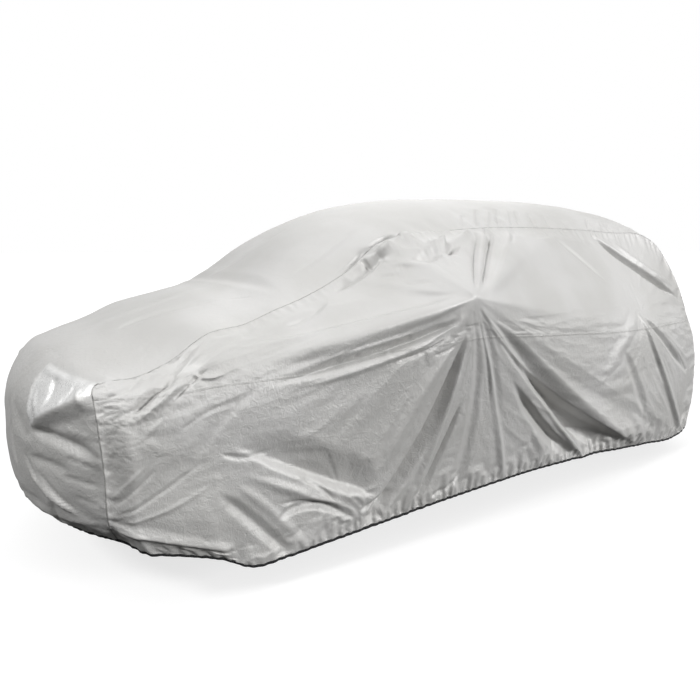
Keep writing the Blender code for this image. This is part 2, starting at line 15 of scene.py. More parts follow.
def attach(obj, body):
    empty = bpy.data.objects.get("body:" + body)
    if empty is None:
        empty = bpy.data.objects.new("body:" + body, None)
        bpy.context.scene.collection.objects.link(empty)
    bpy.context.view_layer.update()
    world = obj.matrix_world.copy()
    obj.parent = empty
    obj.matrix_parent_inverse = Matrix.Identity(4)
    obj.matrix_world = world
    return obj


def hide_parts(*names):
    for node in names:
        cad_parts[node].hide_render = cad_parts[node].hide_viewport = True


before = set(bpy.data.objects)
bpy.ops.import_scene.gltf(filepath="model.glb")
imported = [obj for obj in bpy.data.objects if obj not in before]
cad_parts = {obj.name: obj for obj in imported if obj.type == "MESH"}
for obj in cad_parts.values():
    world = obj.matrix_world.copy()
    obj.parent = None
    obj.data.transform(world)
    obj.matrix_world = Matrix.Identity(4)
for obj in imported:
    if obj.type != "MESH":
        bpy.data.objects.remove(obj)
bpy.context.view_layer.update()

# ---- sizes, in metres ------------------------------------
ROOF_HEIGHT = 1.707             # from the ground up to the origin
COLUMNS = 680                   # grid quads along a side
UPPER_ROWS = 84                 # grid quads from the top seam to the belt seam
LOWER_ROWS = 128                # grid quads from the belt seam to the hem
STRIP_COLUMNS = 168             # grid quads across the top strip
STRIP_LENGTHS = 560             # and along it
RIGHT_COLUMNS = 480             # the same as for a side, on the right one
RIGHT_UPPER_ROWS = 60
RIGHT_LOWER_ROWS = 90

# ---- the smooth shape, heights above the ground ----------
# Top strip, front to rear: edge seam x, y, height; centre line y, height; power of the crown.
STRIP = {
    "front_hem":     (0.722, -2.205, 0.285, -2.402, 0.272, 2.3),
    "front_tuck":    (0.785, -2.245, 0.372, -2.475, 0.365, 2.2),
    "bumper":        (0.805, -2.256, 0.600, -2.500, 0.580, 2.2),
    "lamp":          (0.762, -2.268, 0.868, -2.464, 0.830, 2.3),
    "lamp_top":      (0.750, -2.268, 0.892, -2.436, 0.880, 2.3),
    "front_corner":  (0.735, -2.258, 0.912, -2.405, 0.930, 2.4),
    "corner_round":  (0.742, -2.222, 0.927, -2.356, 0.967, 2.4),
    "bonnet_lip":    (0.755, -2.115, 0.935, -2.310, 0.995, 2.4),
    "bonnet_front":  (0.765, -1.990, 0.980, -2.130, 1.055, 2.4),
    "bonnet":        (0.760, -1.819, 1.080, -1.910, 1.132, 2.4),
    "bonnet_back":   (0.730, -1.640, 1.105, -1.690, 1.196, 2.4),
    "cowl":          (0.700, -1.490, 1.150, -1.520, 1.240, 2.4),
    "screen_foot":   (0.680, -1.350, 1.190, -1.400, 1.298, 3.0),
    "screen_low":    (0.640, -1.100, 1.290, -1.250, 1.410, 3.4),
    "screen_high":   (0.602, -0.830, 1.450, -1.000, 1.545, 2.8),
    "roof_front":    (0.590, -0.660, 1.480, -0.780, 1.628, 2.5),
    "roof_rise":     (0.575, -0.440, 1.500, -0.500, 1.680, 2.3),
    "roof_mid":      (0.575, -0.150, 1.520, -0.170, 1.703, 2.2),
    "roof_top":      (0.575,  0.300, 1.527,  0.300, 1.715, 2.2),
    "roof_fall":     (0.585,  0.700, 1.518,  0.720, 1.714, 2.2),
    "roof_rear":     (0.595,  1.050, 1.502,  1.090, 1.690, 2.2),
    "roof_back":     (0.602,  1.330, 1.492,  1.380, 1.638, 2.2),
    "tail_top":      (0.615,  1.485, 1.435,  1.560, 1.548, 2.2),
    "tail_glass":    (0.645,  1.630, 1.290,  1.700, 1.350, 2.2),
    "tail_corner":   (0.690,  1.765, 1.050,  1.845, 1.060, 2.3),
    "tail_shoulder": (0.700,  1.800, 0.970,  1.885, 0.970, 2.3),
    "tail_belt":     (0.706,  1.825, 0.890,  1.912, 0.890, 2.3),
    "rear_bumper":   (0.720,  1.875, 0.620,  1.980, 0.620, 2.3),
    "rear_tuck":     (0.705,  1.855, 0.360,  1.955, 0.360, 2.3),
    "rear_hem":      (0.640,  1.760, 0.190,  1.860, 0.200, 2.3),
}
# Lines that run along a side, top to bottom, as (y, x, height), between two named sections of the strip.
SIDE_LINES = {
    "shoulder": ("lamp_top", "tail_shoulder", (
        (-2.02, 0.855, 0.918), (-1.82, 0.872, 0.985), (-1.60, 0.882, 1.015), (-1.39, 0.882, 1.035),
        (-1.13, 0.878, 1.055), (-0.70, 0.862, 1.070), (-0.30, 0.852, 1.075), (0.30, 0.848, 1.070),
        (0.70, 0.842, 1.060), (1.20, 0.815, 1.050), (1.52, 0.768, 1.030))),
    "belt": ("lamp", "tail_belt", (
        (-2.01, 0.880, 0.875), (-1.86, 0.900, 0.890), (-1.63, 0.925, 0.900), (-1.42, 0.925, 0.910),
        (-1.18, 0.925, 0.960), (-0.82, 0.920, 0.980), (-0.58, 0.915, 0.990), (-0.23, 0.912, 0.970),
        (0.20, 0.910, 0.940), (0.68, 0.905, 0.910), (1.20, 0.875, 0.900), (1.60, 0.795, 0.895))),
    "door": ("bumper", "rear_bumper", (
        (-2.05, 0.885, 0.610), (-1.85, 0.915, 0.620), (-1.50, 0.940, 0.620), (-1.00, 0.930, 0.620),
        (0.00, 0.920, 0.620), (0.70, 0.925, 0.620), (1.20, 0.910, 0.620), (1.60, 0.835, 0.620))),
    "tuck": ("front_tuck", "rear_tuck", (
        (-2.12, 0.850, 0.330), (-2.04, 0.875, 0.290), (-1.95, 0.892, 0.258), (-1.85, 0.905, 0.216),
        (-1.72, 0.925, 0.220), (-1.40, 0.935, 0.290), (-1.10, 0.930, 0.320), (0.00, 0.905, 0.330),
        (0.70, 0.915, 0.320), (1.20, 0.905, 0.300), (1.55, 0.850, 0.290))),
    "hem": ("front_hem", "rear_hem", (
        (-2.135, 0.790, 0.262), (-2.070, 0.815, 0.248), (-1.960, 0.848, 0.218), (-1.840, 0.878, 0.178),
        (-1.740, 0.918, 0.130), (-1.565, 0.930, 0.129), (-1.400, 0.930, 0.142), (-1.200, 0.930, 0.155),
        (-0.826, 0.920, 0.173), (-0.500, 0.905, 0.180), (0.000, 0.895, 0.190), (0.700, 0.900, 0.170),
        (1.070, 0.885, 0.145), (1.480, 0.850, 0.118), (1.650, 0.780, 0.140))),
}
# How a panel's grid rows are shared out from line to line: top seam to belt seam, belt seam to hem.
UPPER_SHARES = (0.62, 0.38)
LOWER_SHARES = (0.42, 0.38, 0.20)

# The tip that each door mirror lifts, and the straight lines of cloth that leave it: the angle from +Y
# towards up in degrees, how far the line runs, and the x at which it comes down on the side.
MIRROR_TIP = (1.088, -0.655, 1.195)
MIRROR_TIP_RADIUS = 0.03
MIRROR_BLEND = 0.06             # how softly the stretched cloth runs into the side
MIRROR_EASE = 0.02              # how far the side draws in for it
MIRROR_LINES = (
    (-26, 1.75, 0.925), (-18, 1.35, 0.945), (-10, 1.50, 0.905), (5, 1.30, 0.710), (15, 1.15, 0.600),
    (22, 0.86, 0.577), (35, 0.57, 0.576), (50, 0.42, 0.576), (70, 0.33, 0.583), (90, 0.295, 0.590),
    (110, 0.29, 0.597), (130, 0.325, 0.602), (150, 0.35, 0.620), (168, 0.455, 0.640), (178, 0.60, 0.660),
    (183, 0.78, 0.730), (188, 0.98, 0.830), (197, 1.10, 0.925), (205, 1.15, 0.930), (220, 1.15, 0.935),
    (235, 1.18, 0.930), (252, 1.07, 0.925), (270, 1.02, 0.910), (290, 1.08, 0.900), (305, 1.23, 0.895),
    (318, 1.50, 0.895), (334, 1.75, 0.925),
)

# ---- the folds -------------------------------------------
# start, middle, end, half width at start and end and rise at start and end in millimetres (below zero is a
# valley), sharpness of the crest from 0 to 1, and lean: above 0, the slope on the left of the way from start
# to end is longer.
# Side folds are drawn in (y, height), front and tail folds in (x, height), bonnet and roof folds in (x, y).
# Folds are in the cloth while it settles. Creases are crisp folds, put in afterwards.
LEFT_FOLDS = {
    # from the mirror down and back
    "deep_valley": ((-0.64, 1.15), (-0.02, 0.64), (0.58, 0.16), 32, 150, -28, -135, 0.15, 0.36),
    "rear_ridge": ((-0.63, 1.165), (-0.09, 0.725), (0.98, 0.16), 30, 110, 14, 55, 0.65, 0.6),
    "front_ridge": ((-0.63, 1.15), (-0.14, 0.72), (0.46, 0.15), 20, 55, 12, 36, 0.7, 0.0),
    "rear_fan_valley": ((-0.32, 0.76), (0.04, 0.42), (0.36, 0.19), 40, 60, -34, -48, 0.3, -0.25),
    "rear_fan_triangle": ((-0.08, 0.44), (0.0, 0.34), (0.12, 0.2), 40, 50, 10, 16, 0.4, 0.0),
    "middle_ridge": ((-0.63, 1.12), (-0.4, 0.62), (-0.25, 0.16), 20, 45, 6, 14, 0.55, 0.0),
    "middle_valley": ((-0.61, 1.1), (-0.47, 0.86), (-0.34, 0.45), 20, 50, -6, -10, 0.3, 0.0),
    "front_fan_valley": ((-0.655, 1.1), (-0.56, 0.72), (-0.6, 0.24), 22, 60, -6, -14, 0.2, 0.0),
    "thin_valley": ((-0.64, 0.72), (-0.76, 0.42), (-0.89, 0.18), 22, 34, -26, -36, 0.55, 0.25),
    "door_ridge": ((-0.67, 0.98), (-0.77, 0.6), (-0.94, 0.17), 24, 40, 14, 24, 0.6, 0.0),
    "door_valley": ((-0.68, 1.05), (-0.85, 0.6), (-1.15, 0.2), 40, 60, -50, -60, 0.35, 0.3),
    "door_left_ridge": ((-0.7, 1.05), (-0.94, 0.72), (-1.1, 0.42), 30, 70, 6, 12, 0.1, 0.0),
    # along the wing, from the mirror forwards
    "wing_upper_valley": ((-0.7, 1.215), (-1.1, 1.15), (-1.72, 1.035), 26, 42, -22, -34, 0.3, -0.3),
    "wing_ridge": ((-0.68, 1.185), (-1.1, 1.085), (-1.66, 0.965), 30, 60, 10, 26, 0.15, 0.0),
    "wing_lower_valley": ((-0.72, 1.1), (-1.08, 0.985), (-1.64, 0.885), 26, 44, -26, -34, 0.35, -0.3),
    "belt_ridge": ((-0.84, 1.02), (-1.1, 0.945), (-1.5, 0.86), 20, 30, 8, 10, 0.3, 0.0),
    "quarter_valley": ((0.78, 1.5), (1.18, 1.26), (1.66, 1.05), 30, 42, -40, -44, 0.3, -0.3),
    "quarter_ridge": ((0.98, 1.45), (1.26, 1.28), (1.6, 1.14), 25, 35, 8, 12, 0.2, 0.0),
    "rear_pane_fold": ((0.34, 1.5), (0.53, 1.36), (0.74, 1.19), 26, 30, -6, -6, 0.5, 0.0),
    # rear door and quarter
    "rear_tip_left": ((0.93, 1.02), (0.74, 0.87), (0.5, 0.66), 60, 80, 5, 5, 0.1, 0.0),
    "rear_tip_right": ((0.93, 1.02), (1.14, 0.68), (1.5, 0.2), 30, 60, 14, 22, 0.5, 0.4),
    "rear_tip_valley": ((0.98, 0.99), (1.24, 0.8), (1.62, 0.54), 24, 50, -14, -26, 0.4, 0.0),
    "rear_hip_valley": ((0.72, 0.8), (0.86, 0.6), (1.02, 0.34), 45, 60, -10, -16, 0.15, 0.0),
    # front wheel
    "arch_edge": ((-1.93, 0.62), (-1.83, 0.77), (-1.62, 0.92), 40, 40, -4, -4, 0.1, 0.4),
    "arch_valley": ((-1.8, 0.665), (-1.42, 0.46), (-1.12, 0.31), 95, 105, -30, -40, 0.3, 0.55),
    "arch_ridge": ((-1.78, 0.54), (-1.46, 0.375), (-1.25, 0.24), 36, 36, 8, 14, 0.6, 0.0),
    "arch_triangle": ((-1.28, 0.37), (-1.22, 0.33), (-1.19, 0.27), 35, 25, 8, 8, 0.6, 0.0),
    "wheel_arc": ((-1.62, 0.3), (-1.45, 0.335), (-1.25, 0.23), 30, 30, -18, -22, 0.5, 0.0),
    "wheel_front_fold": ((-1.87, 0.48), (-1.72, 0.32), (-1.57, 0.15), 36, 44, -12, -18, 0.4, 0.0),
    "wheel_front_ridge": ((-1.8, 0.5), (-1.64, 0.35), (-1.5, 0.17), 30, 36, 5, 8, 0.4, 0.0),
    # front corner
    "lamp_valley": ((-2.17, 0.8), (-2.07, 0.885), (-1.97, 0.955), 18, 24, -26, -28, 0.7, 0.3),
    "lamp_ridge": ((-2.15, 0.785), (-2.04, 0.865), (-1.95, 0.935), 18, 22, 14, 16, 0.7, 0.0),
    "corner_tuck": ((-2.27, 0.375), (-2.06, 0.315), (-1.83, 0.225), 36, 30, 16, 14, 0.8, 0.3),
}
RIGHT_FOLDS = {
    "deep_valley": ((-0.58, 1.14), (-0.08, 0.78), (0.84, 0.18), 22, 85, -8, -52, 0.35, 0.2),
    "rear_ridge": ((-0.55, 1.15), (0.18, 0.84), (1.2, 0.22), 22, 80, 6, 28, 0.35, 0.0),
    "front_ridge": ((-0.59, 1.12), (-0.26, 0.72), (0.36, 0.14), 22, 55, 6, 26, 0.5, 0.0),
    "rear_fan_valley": ((-0.3, 0.62), (-0.1, 0.38), (0.14, 0.17), 35, 55, -22, -30, 0.3, 0.0),
    "middle_ridge": ((-0.64, 1.1), (-0.5, 0.6), (-0.42, 0.18), 20, 45, 6, 14, 0.5, 0.0),
    "thin_valley": ((-0.7, 0.6), (-0.84, 0.38), (-0.96, 0.18), 24, 34, -16, -24, 0.5, 0.0),
    "door_ridge": ((-0.74, 0.86), (-0.86, 0.52), (-1.04, 0.17), 30, 45, 10, 20, 0.4, 0.0),
    "door_valley": ((-0.7, 0.92), (-0.74, 0.56), (-0.82, 0.17), 38, 65, -24, -45, 0.4, 0.2),
    "wing_upper_valley": ((-0.78, 1.205), (-1.12, 1.15), (-1.6, 1.06), 26, 40, -14, -22, 0.3, 0.0),
    "wing_ridge": ((-0.74, 1.17), (-1.14, 1.07), (-1.56, 0.99), 30, 55, 8, 18, 0.15, 0.0),
    "wing_lower_valley": ((-0.82, 1.06), (-1.14, 0.965), (-1.52, 0.905), 26, 40, -18, -20, 0.35, 0.0),
    "pleat_a": ((-0.62, 1.25), (-0.44, 1.38), (-0.28, 1.505), 16, 20, -10, -8, 0.75, 0.0),
    "pleat_b": ((-0.59, 1.22), (-0.3, 1.37), (-0.06, 1.515), 16, 22, -11, -12, 0.75, 0.0),
    "pane_step": ((-0.94, 1.385), (-0.74, 1.44), (-0.42, 1.495), 22, 20, -16, -12, 0.6, 0.5),
    "quarter_valley": ((1.0, 1.45), (1.26, 1.25), (1.56, 1.12), 30, 40, -22, -28, 0.3, 0.2),
    "rear_pane_fold": ((0.22, 1.49), (0.4, 1.36), (0.62, 1.22), 35, 40, -10, -10, 0.3, 0.0),
    "rear_tip_left": ((1.04, 0.98), (0.82, 0.82), (0.62, 0.62), 26, 55, 12, 16, 0.45, 0.0),
    "rear_tip_right": ((1.04, 0.98), (1.2, 0.62), (1.4, 0.22), 26, 65, 12, 20, 0.45, 0.0),
    "arch_valley": ((-1.76, 0.62), (-1.46, 0.5), (-1.24, 0.4), 45, 55, -20, -30, 0.3, 0.2),
    "arch_ridge": ((-1.78, 0.52), (-1.52, 0.42), (-1.3, 0.22), 40, 40, 16, 26, 0.5, 0.0),
    "gather_valley": ((-1.26, 0.22), (-1.15, 0.33), (-1.02, 0.44), 28, 50, -26, -30, 0.4, 0.0),
    "wheel_arc": ((-1.66, 0.28), (-1.5, 0.31), (-1.34, 0.22), 30, 30, -16, -18, 0.5, 0.0),
    "corner_ray_1": ((-2.22, 0.44), (-2.03, 0.55), (-1.84, 0.64), 18, 24, -10, -12, 0.6, 0.0),
    "corner_ray_2": ((-2.24, 0.55), (-2.12, 0.62), (-2.0, 0.66), 16, 20, -8, -8, 0.6, 0.0),
    "lamp_valley": ((-2.16, 0.81), (-2.04, 0.9), (-1.95, 0.96), 20, 26, -18, -22, 0.6, 0.3),
    "lamp_ridge": ((-2.13, 0.79), (-2.0, 0.87), (-1.91, 0.94), 22, 26, 12, 14, 0.6, 0.0),
}
LEFT_CREASES = {
    # behind the mirror, up to the roof seam
    "pleat_a": ((-0.655, 1.21), (-0.43, 1.37), (-0.16, 1.53), 10, 12, -20, -22, 0.8, 0.2),
    "pleat_b": ((-0.63, 1.2), (-0.33, 1.37), (-0.04, 1.53), 11, 14, -24, -30, 0.8, 0.3),
    "pleat_ridge": ((-0.65, 1.21), (-0.39, 1.37), (-0.11, 1.53), 18, 24, 6, 10, 0.7, 0.0),
    "pleat_edge": ((-0.6, 1.19), (-0.22, 1.37), (0.12, 1.53), 34, 80, 10, 32, 0.85, -0.6),
    "pleat_c": ((-0.1, 1.42), (0.02, 1.475), (0.1, 1.53), 14, 18, -20, -24, 0.7, 0.0),
    "pleat_d": ((-0.24, 1.42), (-0.16, 1.48), (-0.09, 1.53), 13, 16, -16, -20, 0.7, 0.0),
    # slack over the side windows
    "pane_roll": ((-1.04, 1.3), (-0.72, 1.45), (-0.24, 1.505), 40, 36, 22, 20, 0.8, 0.35),
    "pane_low_ridge": ((-0.98, 1.33), (-0.84, 1.345), (-0.66, 1.32), 18, 16, 8, 6, 0.7, -0.3),
    "pane_dash_a": ((-0.99, 1.28), (-0.93, 1.29), (-0.85, 1.3), 10, 10, -8, -8, 0.8, 0.0),
    "pane_dash_b": ((-0.91, 1.255), (-0.84, 1.26), (-0.75, 1.265), 10, 10, -7, -7, 0.8, 0.0),
    "seam_fold_a": ((-1.2, 1.215), (-1.04, 1.29), (-0.9, 1.38), 18, 20, -24, -28, 0.6, 0.2),
    "seam_fold_b": ((-1.52, 1.1), (-1.4, 1.13), (-1.25, 1.19), 14, 16, -14, -16, 0.6, 0.2),
    "rear_seam_fold": ((0.1, 1.485), (0.28, 1.475), (0.44, 1.5), 14, 14, -10, -10, 0.8, 0.2),
    # under the mirror
    "belt_crease": ((-0.8, 1.02), (-0.92, 0.965), (-1.1, 0.925), 12, 14, -10, -8, 0.8, 0.3),
    "belt_crease_2": ((-0.74, 0.985), (-0.8, 0.955), (-0.88, 0.935), 10, 10, -8, -6, 0.8, 0.0),
    "fan_line": ((-0.63, 1.12), (-0.53, 0.9), (-0.44, 0.62), 14, 20, -10, -6, 0.7, 0.0),
    # front wheel
    "wheel_tri_a": ((-1.32, 0.36), (-1.2, 0.335), (-1.11, 0.37), 24, 20, 5, 5, 0.6, 0.0),
    "wheel_tri_b": ((-1.3, 0.35), (-1.24, 0.3), (-1.2, 0.24), 24, 20, 5, 5, 0.6, 0.0),
    "wheel_crease_a": ((-1.62, 0.37), (-1.46, 0.345), (-1.3, 0.27), 18, 18, -14, -12, 0.7, 0.3),
    "wheel_crease_b": ((-1.52, 0.47), (-1.42, 0.41), (-1.33, 0.31), 18, 16, -12, -10, 0.7, 0.0),
    "wheel_crease_c": ((-1.86, 0.64), (-1.74, 0.6), (-1.6, 0.62), 16, 16, -10, -8, 0.7, 0.0),
    # front corner
    "corner_ray_1": ((-2.25, 0.41), (-2.08, 0.51), (-1.9, 0.62), 11, 14, -8, -5, 0.8, 0.0),
    "corner_ray_2": ((-2.26, 0.43), (-2.17, 0.53), (-2.08, 0.61), 10, 13, -8, -6, 0.8, 0.0),
    "corner_ray_3": ((-2.25, 0.39), (-2.06, 0.44), (-1.86, 0.53), 11, 14, 7, 4, 0.8, 0.0),
    "corner_ray_4": ((-2.25, 0.47), (-2.19, 0.55), (-2.12, 0.63), 10, 13, 9, 6, 0.8, 0.0),
    "lamp_fold_2": ((-2.02, 0.85), (-1.94, 0.915), (-1.86, 0.965), 12, 16, -12, -14, 0.8, 0.0),
    "lamp_fold_3": ((-2.24, 0.87), (-2.16, 0.9), (-2.07, 0.945), 12, 14, -6, -6, 0.8, 0.0),
    "lamp_fold_4": ((-2.22, 0.8), (-2.14, 0.83), (-2.06, 0.82), 14, 14, -5, -4, 0.8, 0.0),
    "lamp_fold_5": ((-2.16, 0.7), (-2.09, 0.76), (-2.02, 0.82), 14, 14, 4, 4, 0.8, 0.0),
    "lamp_fold_6": ((-2.0, 0.74), (-1.92, 0.79), (-1.8, 0.84), 14, 16, -4, -3, 0.8, 0.0),
    "lamp_fold_7": ((-1.93, 0.96), (-1.88, 0.93), (-1.8, 0.945), 14, 12, 12, 10, 0.8, 0.0),
    "low_fold": ((-0.5, 0.4), (-0.6, 0.27), (-0.76, 0.22), 20, 24, -10, -10, 0.7, 0.0),
    "low_fold_2": ((-1.22, 0.245), (-1.12, 0.275), (-1.0, 0.3), 20, 24, -14, -16, 0.7, 0.0),
}
RIGHT_CREASES = {
    "pleat_a": ((-0.64, 1.23), (-0.46, 1.37), (-0.27, 1.51), 13, 15, -10, -10, 0.8, 0.0),
    "pleat_b": ((-0.61, 1.21), (-0.32, 1.37), (-0.05, 1.52), 14, 18, -12, -16, 0.8, 0.0),
    "pane_roll": ((-1.02, 1.3), (-0.74, 1.44), (-0.34, 1.5), 44, 40, 18, 16, 0.6, 0.4),
    "pane_step": ((-0.94, 1.34), (-0.8, 1.395), (-0.6, 1.42), 24, 22, -20, -16, 0.7, 0.5),
    "wheel_tri_a": ((-1.36, 0.35), (-1.26, 0.33), (-1.16, 0.36), 22, 18, 14, 12, 0.7, 0.0),
    "wheel_crease_a": ((-1.64, 0.38), (-1.48, 0.34), (-1.34, 0.27), 18, 18, -12, -12, 0.7, 0.3),
    "corner_ray_1": ((-2.24, 0.43), (-2.05, 0.53), (-1.86, 0.63), 12, 16, -10, -8, 0.8, 0.0),
    "corner_ray_2": ((-2.25, 0.46), (-2.17, 0.55), (-2.08, 0.63), 11, 14, -9, -8, 0.8, 0.0),
    "corner_ray_3": ((-2.24, 0.4), (-2.04, 0.46), (-1.84, 0.56), 12, 16, 8, 6, 0.8, 0.0),
    "lamp_fold_2": ((-2.02, 0.86), (-1.94, 0.92), (-1.86, 0.965), 14, 16, -10, -12, 0.8, 0.0),
    "lamp_fold_3": ((-2.24, 0.86), (-2.16, 0.89), (-2.07, 0.93), 12, 14, -9, -9, 0.8, 0.0),
}
FRONT_FOLDS = {
    "lamp_lip": ((0.4, 0.7), (0.6, 0.815), (0.8, 0.875), 70, 85, 26, 30, 0.6, 0.15),
    "lamp_crease": ((0.39, 0.695), (0.6, 0.695), (0.8, 0.65), 34, 50, -22, -26, 0.6, -0.15),
    "bumper_crease": ((0.37, 0.575), (0.53, 0.585), (0.66, 0.57), 30, 34, -9, -7, 0.5, -0.2),
    "bumper_ridge": ((0.35, 0.53), (0.5, 0.455), (0.685, 0.39), 24, 18, 10, 16, 0.6, 0.0),
    "nose_fold": ((0.14, 0.7), (0.16, 0.6), (0.22, 0.48), 30, 34, -7, -7, 0.3, 0.0),
    "grille_sag": ((-0.1, 0.72), (-0.2, 0.55), (-0.3, 0.4), 60, 60, -9, -9, 0.2, 0.0),
    "far_lamp_crease": ((-0.4, 0.7), (-0.6, 0.72), (-0.78, 0.68), 30, 34, -16, -18, 0.5, 0.0),
    "far_bumper_ridge": ((-0.34, 0.52), (-0.52, 0.45), (-0.7, 0.4), 26, 22, 10, 14, 0.5, 0.0),
    "tuck_line": ((-0.4, 0.335), (0.25, 0.335), (0.82, 0.385), 36, 40, 13, 15, 0.8, 0.3),
}
FRONT_CREASES = {
    "lamp_side_ridge": ((0.315, 0.935), (0.355, 0.82), (0.42, 0.71), 14, 14, 12, 10, 0.8, 0.0),
    "lamp_top_ridge": ((0.31, 0.935), (0.44, 0.925), (0.58, 0.915), 16, 14, 10, 6, 0.8, 0.0),
    "lamp_dent_a": ((0.46, 0.915), (0.5, 0.865), (0.52, 0.8), 22, 22, -12, -8, 0.6, 0.3),
    "lamp_dent_b": ((0.63, 0.905), (0.64, 0.87), (0.61, 0.82), 18, 18, -10, -8, 0.6, -0.3),
    "lamp_dent_c": ((0.38, 0.85), (0.43, 0.8), (0.5, 0.77), 16, 16, 10, 8, 0.8, 0.0),
    "lamp_dent_d": ((0.68, 0.9), (0.7, 0.87), (0.75, 0.84), 14, 14, 10, 8, 0.8, 0.0),
    "lamp_spike": ((0.41, 0.702), (0.43, 0.76), (0.42, 0.83), 14, 12, 10, 6, 0.8, 0.0),
    "seam_fold_1": ((0.62, 0.755), (0.7, 0.735), (0.77, 0.735), 12, 12, 6, 7, 0.8, 0.0),
    "seam_fold_2": ((0.62, 0.625), (0.7, 0.62), (0.79, 0.6), 13, 14, -8, -9, 0.8, 0.0),
    "seam_fold_3": ((0.6, 0.545), (0.7, 0.545), (0.79, 0.535), 12, 14, -7, -9, 0.8, 0.0),
    "seam_fold_4": ((0.66, 0.475), (0.72, 0.47), (0.79, 0.46), 12, 12, -6, -8, 0.8, 0.0),
    "bumper_line": ((0.3, 0.6), (0.4, 0.52), (0.52, 0.44), 12, 12, -7, -6, 0.8, 0.0),
    "bumper_line_2": ((0.4, 0.545), (0.56, 0.465), (0.685, 0.385), 14, 14, -10, -12, 0.7, 0.0),
    "far_lamp_ridge": ((-0.34, 0.9), (-0.5, 0.89), (-0.7, 0.88), 16, 16, 9, 9, 0.7, 0.0),
    "far_lamp_dent": ((-0.46, 0.88), (-0.52, 0.82), (-0.54, 0.76), 20, 20, -10, -8, 0.7, 0.3),
    "far_lamp_lip": ((-0.4, 0.71), (-0.6, 0.76), (-0.78, 0.77), 30, 34, 12, 14, 0.6, -0.4),
}
TOP_FOLDS = {
    "bonnet_soft_a": ((0.3, -2.08), (0.34, -1.86), (0.44, -1.62), 50, 70, -5, -6, 0.1, 0.0),
    "bonnet_soft_b": ((0.05, -2.2), (0.1, -1.9), (0.12, -1.6), 60, 80, 4, 4, 0.1, 0.0),
    "bonnet_soft_c": ((-0.3, -2.1), (-0.34, -1.86), (-0.42, -1.6), 60, 70, -5, -5, 0.1, 0.0),
    "cowl_dip": ((-0.62, -1.43), (0.0, -1.47), (0.62, -1.4), 60, 60, -8, -10, 0.2, 0.0),
    "screen_fold_a": ((0.52, -1.3), (0.5, -1.1), (0.47, -0.86), 30, 30, -7, -6, 0.4, 0.0),
    "screen_fold_b": ((-0.2, -1.46), (-0.06, -1.3), (0.04, -1.05), 40, 50, -6, -5, 0.2, 0.0),
}
TOP_CREASES = {
    "roof_pleat_a": ((0.575, -0.27), (0.52, -0.22), (0.46, -0.17), 13, 17, -14, -8, 0.8, 0.0),
    "roof_pleat_b": ((0.575, -0.17), (0.49, -0.09), (0.4, -0.01), 13, 17, -16, -8, 0.8, 0.0),
    "roof_pleat_c": ((0.575, -0.08), (0.5, -0.01), (0.42, 0.07), 13, 17, 10, 6, 0.8, 0.0),
    "roof_pleat_d": ((0.575, 0.0), (0.48, 0.09), (0.38, 0.18), 13, 17, -18, -8, 0.8, 0.0),
    "roof_pleat_e": ((0.575, 0.09), (0.49, 0.17), (0.4, 0.25), 13, 17, 11, 6, 0.8, 0.0),
    "roof_pleat_f": ((0.575, 0.17), (0.48, 0.25), (0.38, 0.33), 13, 17, -16, -8, 0.8, 0.0),
    "roof_pleat_g": ((0.575, 0.31), (0.49, 0.37), (0.4, 0.43), 13, 17, -12, -6, 0.8, 0.0),
    "roof_pleat_h": ((0.58, 0.45), (0.51, 0.49), (0.43, 0.54), 13, 17, -12, -6, 0.8, 0.0),
    "rear_roof_a": ((0.59, 0.82), (0.53, 0.87), (0.43, 0.98), 18, 20, -24, -14, 0.7, 0.0),
    "rear_roof_b": ((0.59, 0.92), (0.54, 0.97), (0.46, 1.06), 16, 18, 18, 12, 0.7, 0.0),
    "rear_roof_c": ((0.59, 1.02), (0.54, 1.06), (0.45, 1.14), 16, 18, -20, -12, 0.7, 0.0),
    "pillar_fold_a": ((0.608, -0.94), (0.59, -0.84), (0.582, -0.74), 16, 16, -26, -24, 0.7, 0.0),
    "pillar_fold_b": ((0.65, -1.16), (0.625, -1.04), (0.6, -0.94), 13, 14, -18, -18, 0.7, 0.0),
    "bonnet_line_a": ((0.3, -2.06), (0.35, -2.05), (0.4, -2.04), 10, 10, -3, -3, 0.8, 0.0),
    "bonnet_line_b": ((0.44, -1.6), (0.48, -1.55), (0.52, -1.5), 10, 10, -3, -3, 0.8, 0.0),
    "far_pleat_a": ((-0.57, -0.12), (-0.46, -0.08), (-0.32, -0.06), 14, 16, -10, -6, 0.7, 0.0),
    "far_pleat_b": ((-0.57, 0.1), (-0.47, 0.12), (-0.33, 0.16), 14, 16, -10, -6, 0.7, 0.0),
}
TAIL_FOLDS = {
    "plate_valley": ((0.1, 1.0), (0.18, 0.7), (0.3, 0.3), 60, 70, -14, -22, 0.3, 0.0),
    "left_swag": ((0.45, 1.15), (0.38, 0.8), (0.5, 0.3), 45, 60, -12, -20, 0.4, 0.0),
    "right_swag": ((-0.4, 1.2), (-0.34, 0.85), (-0.46, 0.3), 50, 65, -16, -22, 0.4, 0.0),
    "centre_ridge": ((-0.08, 1.1), (-0.1, 0.7), (-0.16, 0.3), 50, 60, 10, 14, 0.4, 0.0),
    "window_fold": ((0.55, 1.4), (0.3, 1.28), (0.05, 1.2), 40, 50, -10, -8, 0.3, 0.0),
    "far_window_fold": ((-0.56, 1.38), (-0.34, 1.3), (-0.1, 1.22), 40, 50, -10, -8, 0.3, 0.0),
}
FOLD_POINTS = 14                # points along a fold's line
FOLD_FADE = 0.26                # share of a fold's length over which it fades in and out
FOLD_OPEN_END = 0.26            # but one that ends lower than this runs on under the hem
FOLD_START_WIDTH = 0.45         # share of its width that a fold has where it fades out
CREST_POWER = 1.8               # how pointed the crest of a sharp fold is
HEM_HOLD = 0.10                 # share of a fold's rise that the elastic lets through at the hem
HEM_HOLD_REACH = 0.06           # over this height above the hem
